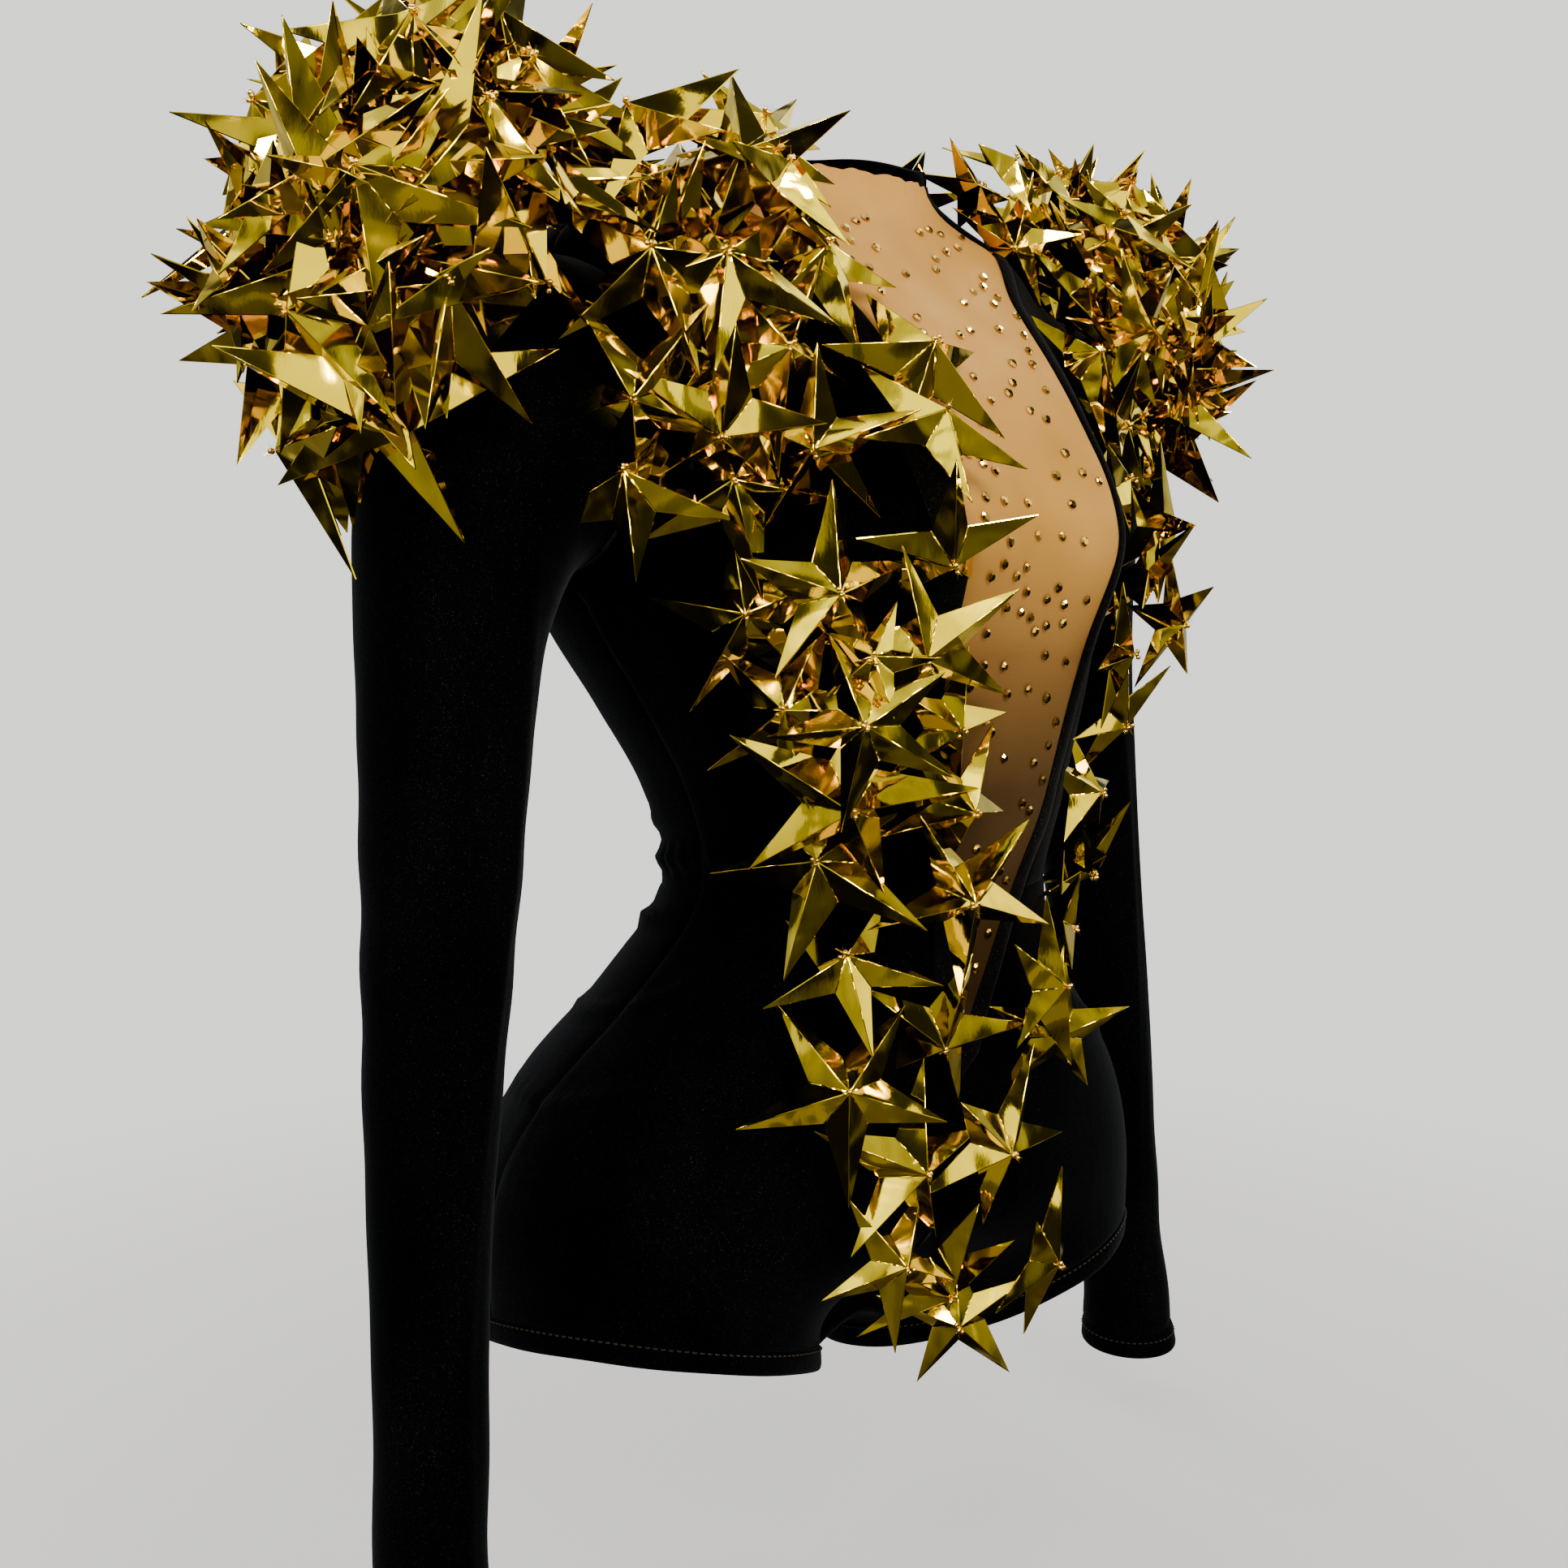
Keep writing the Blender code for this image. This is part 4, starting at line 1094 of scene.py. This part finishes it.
def thread_shape(start, end, width):
    """A short end of gold thread, as a thin three-sided needle."""
    direction = unit(end - start)
    across = unit(np.cross(direction, np.array([0.3, 0.5, 0.8])))
    other = np.cross(direction, across)
    ring = [start + (across * math.cos(a) + other * math.sin(a)) * width for a in (0.0, 2.1, 4.2)]
    return np.array([*ring, end]), [(0, 1, 3), (1, 2, 3), (2, 0, 3), (2, 1, 0)], [False] * 4


def add_centre(heap, centre, axes, radius, rise, rng):
    """Seed beads and thread ends that hold a star through its middle."""
    top = centre + axes[2] * (rise * radius + 0.0004)
    bead = bead_shape(0.00115)
    for k in range(4):
        offset = axes[0] * rng.normal(0.0, 0.001) + axes[1] * rng.normal(0.0, 0.001)
        lift = axes[2] * (0.0002 + 0.0008 * (k == 3))
        heap.add(bead[0] + top + offset + lift, bead[1], bead[2])
    for _ in range(6):
        lean = axes[0] * rng.normal() + axes[1] * rng.normal() + axes[2] * abs(rng.normal())
        heap.add(*thread_shape(top, top + unit(lean) * rng.uniform(0.003, 0.006), 0.00018))


def body_frame(x, z, front=True):
    """The point and outward normal of the garment at an offset across and a height."""
    points = []
    for dx, dz in ((0.0, 0.0), (0.008, 0.0), (-0.008, 0.0), (0.0, 0.008), (0.0, -0.008)):
        side = 1 if x + dx > 0 else -1
        height = np.array(z + dz)
        limit = 0.975 * float(curve_value(TORSO, height, 1))
        points.append(posture(block(height, angle_at(height, min(abs(x + dx), limit), front)), side))
    across, up = points[1] - points[2], points[3] - points[4]
    normal = np.cross(across, up) * (1.0 if front else -1.0)
    return points[0], unit(normal)


PLACED = []


def torso_star(x, z, radius, turn, front=True, tilt=0.32, lift=0.0):
    """A star on the cloth, in the lowest layer that clears those already there."""
    point, normal = body_frame(x, z, front)
    layer = 0
    while any(l == layer and np.linalg.norm(point - p) < 0.8 * (radius + r) for p, r, l in PLACED):
        layer += 1
    if not lift:
        PLACED.append((point, radius, layer))
    centre = point + normal * max(STAR_LIFT * (1 + layer), lift)
    normal = unit(normal + RNG.normal(0.0, tilt, 3))
    rise = RNG.uniform(0.24, 0.36)
    axes = frame_for(normal, np.array([0.0, 0.0, 1.0]), math.radians(turn))
    points, faces, rounded = star_shape(radius, rise, RNG)
    return centre, axes, rise, (centre + points @ axes, faces, rounded)


def make_torso_stars():
    beads = Heap()
    stars = []
    for row, places in CAD_STARS.items():
        stars += [(f"{row}_{k:02d}_foil", f"{row}_{k:02d}", place) for k, place in enumerate(places, 1)]
    stars += [(f"front_star_{k:02d}_foil", None, row) for k, row in enumerate(FRONT_STARS, 1)]
    for number, (side, x, z, front, radius) in enumerate(TOP_STARS, 1):
        name = f"shoulder_star_{number:02d}_foil"
        stars.append((name, None, (side * x, z, radius, RNG.uniform(0.0, 72.0), front)))
    for number, (x, z, lift, radius) in enumerate(PILED_STARS, 1):
        name = f"piled_star_{number:02d}_foil"
        stars.append((name, None, (x, z, radius, RNG.uniform(0.0, 72.0), True, PILED_TILT, lift)))
    for name, node, placing in stars:
        centre, axes, rise, shape = torso_star(*placing)
        piece = add_mesh(name, shape[0], shape[1], FOIL_MAT, smooth_faces=shape[2])
        finish_piece(piece, "torso", "gold_foil", *([node] if node else []))
        add_centre(beads, centre, axes, placing[2], rise, RNG)
    finish_piece(beads.build("front_star_beads", BEAD_MAT), "torso", "gold_foil")


def dome_directions(count):
    """Directions spread evenly over the outer dome of a shoulder."""
    found = []
    for k in range(count):
        z = 1.0 - 2.0 * (k + 0.5) / count
        ring = math.sqrt(1.0 - z * z)
        turn = k * math.pi * (3.0 - math.sqrt(5.0))
        direction = np.array([ring * math.cos(turn), ring * math.sin(turn), z])
        if direction[0] * 0.78 + direction[2] * 0.62 > 0.02:
            found.append(direction)
    return found


# Layers of a shoulder ball: stars on the dome, depth from its middle, tip radius, least and most lean
BALL_LAYERS = (
    (48, 0.078, 0.056, 0.35, 1.25),
    (48, 0.06, 0.062, 0.7, 1.45),
    (36, 0.088, 0.047, 0.1, 0.75),
)


def ball_star(middle, side, direction, depth, radius, lean):
    """One star of a shoulder ball, drawn in until its tips are within reach."""
    tangent = unit(np.cross(direction, RNG.normal(size=3)))
    normal = direction * math.cos(lean) + tangent * math.sin(lean)
    axes = frame_for(normal, direction + 0.01, RNG.uniform(0.0, 1.25))
    rise = RNG.uniform(0.24, 0.42)
    points, faces, rounded = star_shape(radius, rise, RNG)
    shift = points @ axes
    for _ in range(4):
        reach = np.linalg.norm(direction * depth + shift, axis=1).max()
        depth -= max(reach - CAP_REACH, 0.0)
    centre = middle + direction * depth * CAP_SHAPE
    inboard = (side * (centre + shift)[:, 0]).min()
    centre[0] += side * max(CAP_INNER_X - inboard, 0.0)
    return centre, axes, rise, (centre + shift, faces, rounded)


def make_shoulder_stars():
    for side, word in SIDES:
        foil, beads = Heap(), Heap()
        middle = CAP_CENTRE * np.array([side, 1.0, 1.0])
        middle[2] += SHOULDER_LEAN * ARM_X * side
        for count, depth, size, least, most in BALL_LAYERS:
            for direction in dome_directions(count):
                direction = unit(direction * np.array([side, 1.0, 1.0]) + RNG.normal(0.0, 0.12, 3))
                radius = size * RNG.uniform(0.88, 1.14)
                lean = RNG.uniform(least, most)
                centre, axes, rise, shape = ball_star(middle, side, direction, depth, radius, lean)
                foil.add(*shape)
                add_centre(beads, centre, axes, radius, rise, RNG)
        body = f"{word}_sleeve_body"
        ball = foil.build(f"{word}_shoulder_star_ball", FOIL_MAT)
        finish_piece(ball, body, "gold_foil", f"{word}_shoulder_stars")
        finish_piece(beads.build(f"{word}_shoulder_star_beads", BEAD_MAT), body, "gold_foil")


# ---------------------------------------------------------------- rhinestones


STONES = 112
MOST_TRIES = 20000
STONE_SPACING = 0.0078


def stone_shape(radius):
    """A flat-backed round brilliant, eight-sided."""
    rings = ((1.0, 0.0), (1.0, 0.12), (0.58, 0.48))
    points, faces = [], []
    for r, h in rings:
        points += [(r * math.cos(t), r * math.sin(t), h) for t in np.arange(8) * math.pi / 4]
    for k in range(2):
        for c in range(8):
            d = (c + 1) % 8
            faces.append((k * 8 + c, k * 8 + d, (k + 1) * 8 + d, (k + 1) * 8 + c))
    faces.append(tuple(range(16, 24)))
    faces.append(tuple(reversed(range(8))))
    return np.array(points) * radius, faces, [False] * len(faces)


def make_stones():
    heap = Heap()
    placed = []
    stone = stone_shape(1.0)
    tries = 0
    while len(placed) < STONES and tries < MOST_TRIES:
        tries += 1
        z = RNG.uniform(-0.045, 0.336)
        width = float(plunge_edge(z)) - 0.006
        if width < 0.004:
            continue
        x = RNG.uniform(-width, width)
        lane = math.exp(-(((abs(x) - 0.55 * width) / (0.26 * width)) ** 2))
        thin = 0.55 if z < 0.1 else 1.0  # fewer below the ribs
        if RNG.uniform() > (0.25 + 0.75 * lane) * thin:
            continue
        point, normal = body_frame(x, z)
        if any(np.linalg.norm(point - p) < STONE_SPACING for p in placed):
            continue
        placed.append(point)
        axes = frame_for(normal, np.array([0.0, 0.0, 1.0]), RNG.uniform(0.0, 0.8))
        radius = RNG.uniform(0.0023, 0.0026)
        heap.add(point + normal * 0.0004 + (stone[0] * radius) @ axes, stone[1], stone[2])
    finish_piece(heap.build("plunge_rhinestones", STONE_MAT), "torso", "gold_foil")


# ---------------------------------------------------------------- carried-over CAD pieces


def dress_cad(prefixes, mat):
    for name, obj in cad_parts.items():
        if name.startswith(prefixes):
            for index in range(len(obj.material_slots)):
                obj.material_slots[index].material = mat


# ---------------------------------------------------------------- stage, lights and camera

FLOOR_Z = CAD_BOX[0][2] - 0.004
WALL = (0.98, 0.97, 0.94)
WALL_GLOW = 1.46
LIGHT_TARGET = (0.0, 0.0, 0.12)

# What the foil mirrors: noise value and brightness, then share of the height and brightness
ROOM_PATCHES = (
    (0.4, (0.02, 0.02, 0.02)),
    (0.46, (0.06, 0.06, 0.06)),
    (0.5, (0.3, 0.29, 0.28)),
    (0.6, (0.55, 0.55, 0.55)),
    (0.62, (1.3, 1.28, 1.22)),
)
ROOM_LEVELS = (
    (0.0, (0.14, 0.12, 0.1)),
    (0.4, (0.26, 0.24, 0.21)),
    (0.52, (0.65, 0.64, 0.62)),
    (0.75, (1.0, 1.0, 1.0)),
    (1.0, (1.2, 1.2, 1.2)),
)
DIM_SIDE = (-0.1, -0.99, 0.05)  # the room is darkest in front of the garment
ROOM_DIM = greys((0.35, 1.0), (0.8, 0.55), (0.97, 0.3))
ROOM_GLOW = 1.5

SOFT_BOXES = (
    ("key_softbox", (-0.5, -2.6, 1.7), 1.6, 56.0, (1.0, 0.95, 0.9)),
    ("near_softbox", (-2.0, -1.4, 1.8), 1.6, 9.0, (1.0, 0.97, 0.93)),
    ("side_softbox", (1.9, -1.2, 1.8), 1.2, 8.0, (1.0, 0.97, 0.93)),
    ("back_softbox", (0.6, 2.1, 2.0), 1.2, 32.0, (1.0, 0.97, 0.93)),
    ("left_softbox", (-2.2, 0.6, 1.6), 1.2, 9.0, (1.0, 0.97, 0.93)),
)
LAMPS = (
    ((-1.3, -2.1, 2.1), 0.42, 40.0),
    ((-0.4, -2.3, 1.6), 0.34, 26.0),
    ((-0.9, -2.0, 0.9), 0.3, 20.0),
    ((-2.0, -0.9, 1.4), 0.34, 26.0),
    ((-2.3, 0.2, 2.2), 0.36, 32.0),
    ((-1.8, -1.4, 0.5), 0.28, 18.0),
    ((0.9, -1.9, 1.7), 0.34, 26.0),
    ((0.3, -2.4, 0.7), 0.28, 18.0),
    ((1.9, 0.1, 1.8), 0.32, 24.0),
    ((0.5, 1.9, 2.0), 0.24, 24.0),
    ((-1.4, 1.7, 1.6), 0.3, 20.0),
    ((0.0, -0.8, 2.8), 0.36, 32.0),
)
LAMP_COLOR = (1.0, 0.8, 0.48)
PANELS = (
    (-2.4, -1.2, 2.2),
    (-0.6, -2.4, 2.4),
    (-2.6, -0.4, 0.9),
    (1.7, -1.9, 0.6),
    (-1.6, -1.6, 3.0),
    (2.3, -1.0, 1.6),
    (-1.2, 2.2, 1.8),
    (1.4, 2.0, 1.2),
    (-1.3, -2.5, 0.5),
    (-2.5, -1.7, 0.2),
)
PANEL_SIZE = 0.9
PANEL_POWER = 4.2
PANEL_COLOR = (1.0, 0.94, 0.55)


def make_stage():
    corners = [(-9, -9, FLOOR_Z), (9, -9, FLOOR_Z), (9, 9, FLOOR_Z), (-9, 9, FLOOR_Z)]
    paint = {"Roughness": 0.8, "Base Color": (0.5, 0.5, 0.49, 1.0)}
    mat, tree, shader = new_material("pale_floor_paint", paint)
    glow = {"Color": (*WALL, 1.0), "Strength": WALL_GLOW}
    far = add_node(tree, "ShaderNodeEmission", glow).outputs["Emission"]
    distance = add_node(tree, "ShaderNodeVectorMath", {0: position(tree)}, operation="LENGTH")
    fade = map_range(tree, distance.outputs["Value"], 0.36, 1.15, 0.6, 1.0, "SMOOTHSTEP")
    mix = add_node(tree, "ShaderNodeMixShader", {0: fade, 1: shader.outputs["BSDF"], 2: far})
    tree.links.new(mix.outputs["Shader"], tree.nodes["Material Output"].inputs["Surface"])
    floor = add_mesh("pale_floor", corners, [(0, 1, 2, 3)], mat)
    floor.visible_glossy = False


def make_world():
    """A pale backdrop, and a dim room with lit patches overhead for the foil to mirror."""
    world = bpy.data.worlds.new("studio")
    bpy.context.scene.world = world
    world.use_nodes = True
    tree = world.node_tree
    seen = tree.nodes["Background"]
    seen.inputs["Color"].default_value = (*WALL, 1.0)
    seen.inputs["Strength"].default_value = WALL_GLOW
    source = add_node(tree, "ShaderNodeTexCoord", {}).outputs["Generated"]
    cloudy = add_node(tree, "ShaderNodeTexNoise", {"Vector": source, "Scale": 3.6, "Detail": 2.0})
    patches = ramp(tree, cloudy.outputs["Fac"], ROOM_PATCHES)
    height = add_node(tree, "ShaderNodeSeparateXYZ", {0: source}).outputs["Z"]
    levels = ramp(tree, map_range(tree, height, -1.0, 1.0), ROOM_LEVELS)
    facing = add_node(tree, "ShaderNodeVectorMath", {0: source, 1: DIM_SIDE}, operation="DOT_PRODUCT")
    dim = ramp(tree, facing.outputs["Value"], ROOM_DIM)
    color = multiply(tree, multiply(tree, patches, levels), dim)
    room = add_node(tree, "ShaderNodeBackground", {"Color": color, "Strength": ROOM_GLOW})
    direct = add_node(tree, "ShaderNodeLightPath", {}).outputs["Is Camera Ray"]
    shaders = {0: direct, 1: room.outputs["Background"], 2: seen.outputs["Background"]}
    mix = add_node(tree, "ShaderNodeMixShader", shaders)
    tree.links.new(mix.outputs["Shader"], tree.nodes["World Output"].inputs["Surface"])


def area_light(name, place, size, energy, color, shape="DISK"):
    light = bpy.data.lights.new(name, "AREA")
    light.shape = shape
    light.size = size
    light.energy = energy
    light.color = color
    obj = bpy.data.objects.new(name, light)
    place = np.array(place)
    back = unit(place - np.array(LIGHT_TARGET))
    across = unit(np.cross((0.0, 0.0, 1.0), back))
    up = np.cross(back, across)
    rows = [(across[k], up[k], back[k], place[k]) for k in range(3)]
    obj.matrix_world = Matrix([*rows, (0, 0, 0, 1)])
    bpy.context.scene.collection.objects.link(obj)
    return obj


def make_lights():
    """Soft boxes light the cloth; small lamps are what the foil mirrors as bright points."""
    for name, place, size, energy, color in SOFT_BOXES:
        area_light(name, place, size, energy, color).visible_glossy = False
    for number, place in enumerate(PANELS, 1):
        panel = area_light(f"panel_{number}", place, PANEL_SIZE, PANEL_POWER, PANEL_COLOR, "SQUARE")
        panel.visible_diffuse = False
    for number, (place, size, energy) in enumerate(LAMPS, 1):
        area_light(f"lamp_{number}", place, size, energy, LAMP_COLOR).visible_diffuse = False


def make_camera():
    data = bpy.data.cameras.new("photo_view")
    data.lens = 36.06
    data.sensor_width = 36.0
    camera = bpy.data.objects.new("photo_view", data)
    camera.location = (-0.5888, -0.5596, 0.11)
    camera.rotation_euler = (math.radians(85.5), 0.0, math.radians(-45.0))
    bpy.context.scene.collection.objects.link(camera)
    bpy.context.scene.camera = camera


make_camera()
make_bodice()
make_plunge_panel()
make_bindings()
make_placket()
make_shorts()
make_gusset()
make_sleeves()
make_stitching()
make_torso_stars()
make_shoulder_stars()
make_stones()
dress_cad(("right_zip_tape", "left_zip_tape"), TAPE_MAT)
dress_cad(("right_zip_coil", "left_zip_coil"), COIL_MAT)
dress_cad(("zip_slider", "zip_pull_tab", "zip_bottom_stop", "neck_hook", "neck_eye"), METAL_MAT)
make_stage()
make_world()
make_lights()

bpy.context.view_layer.update()
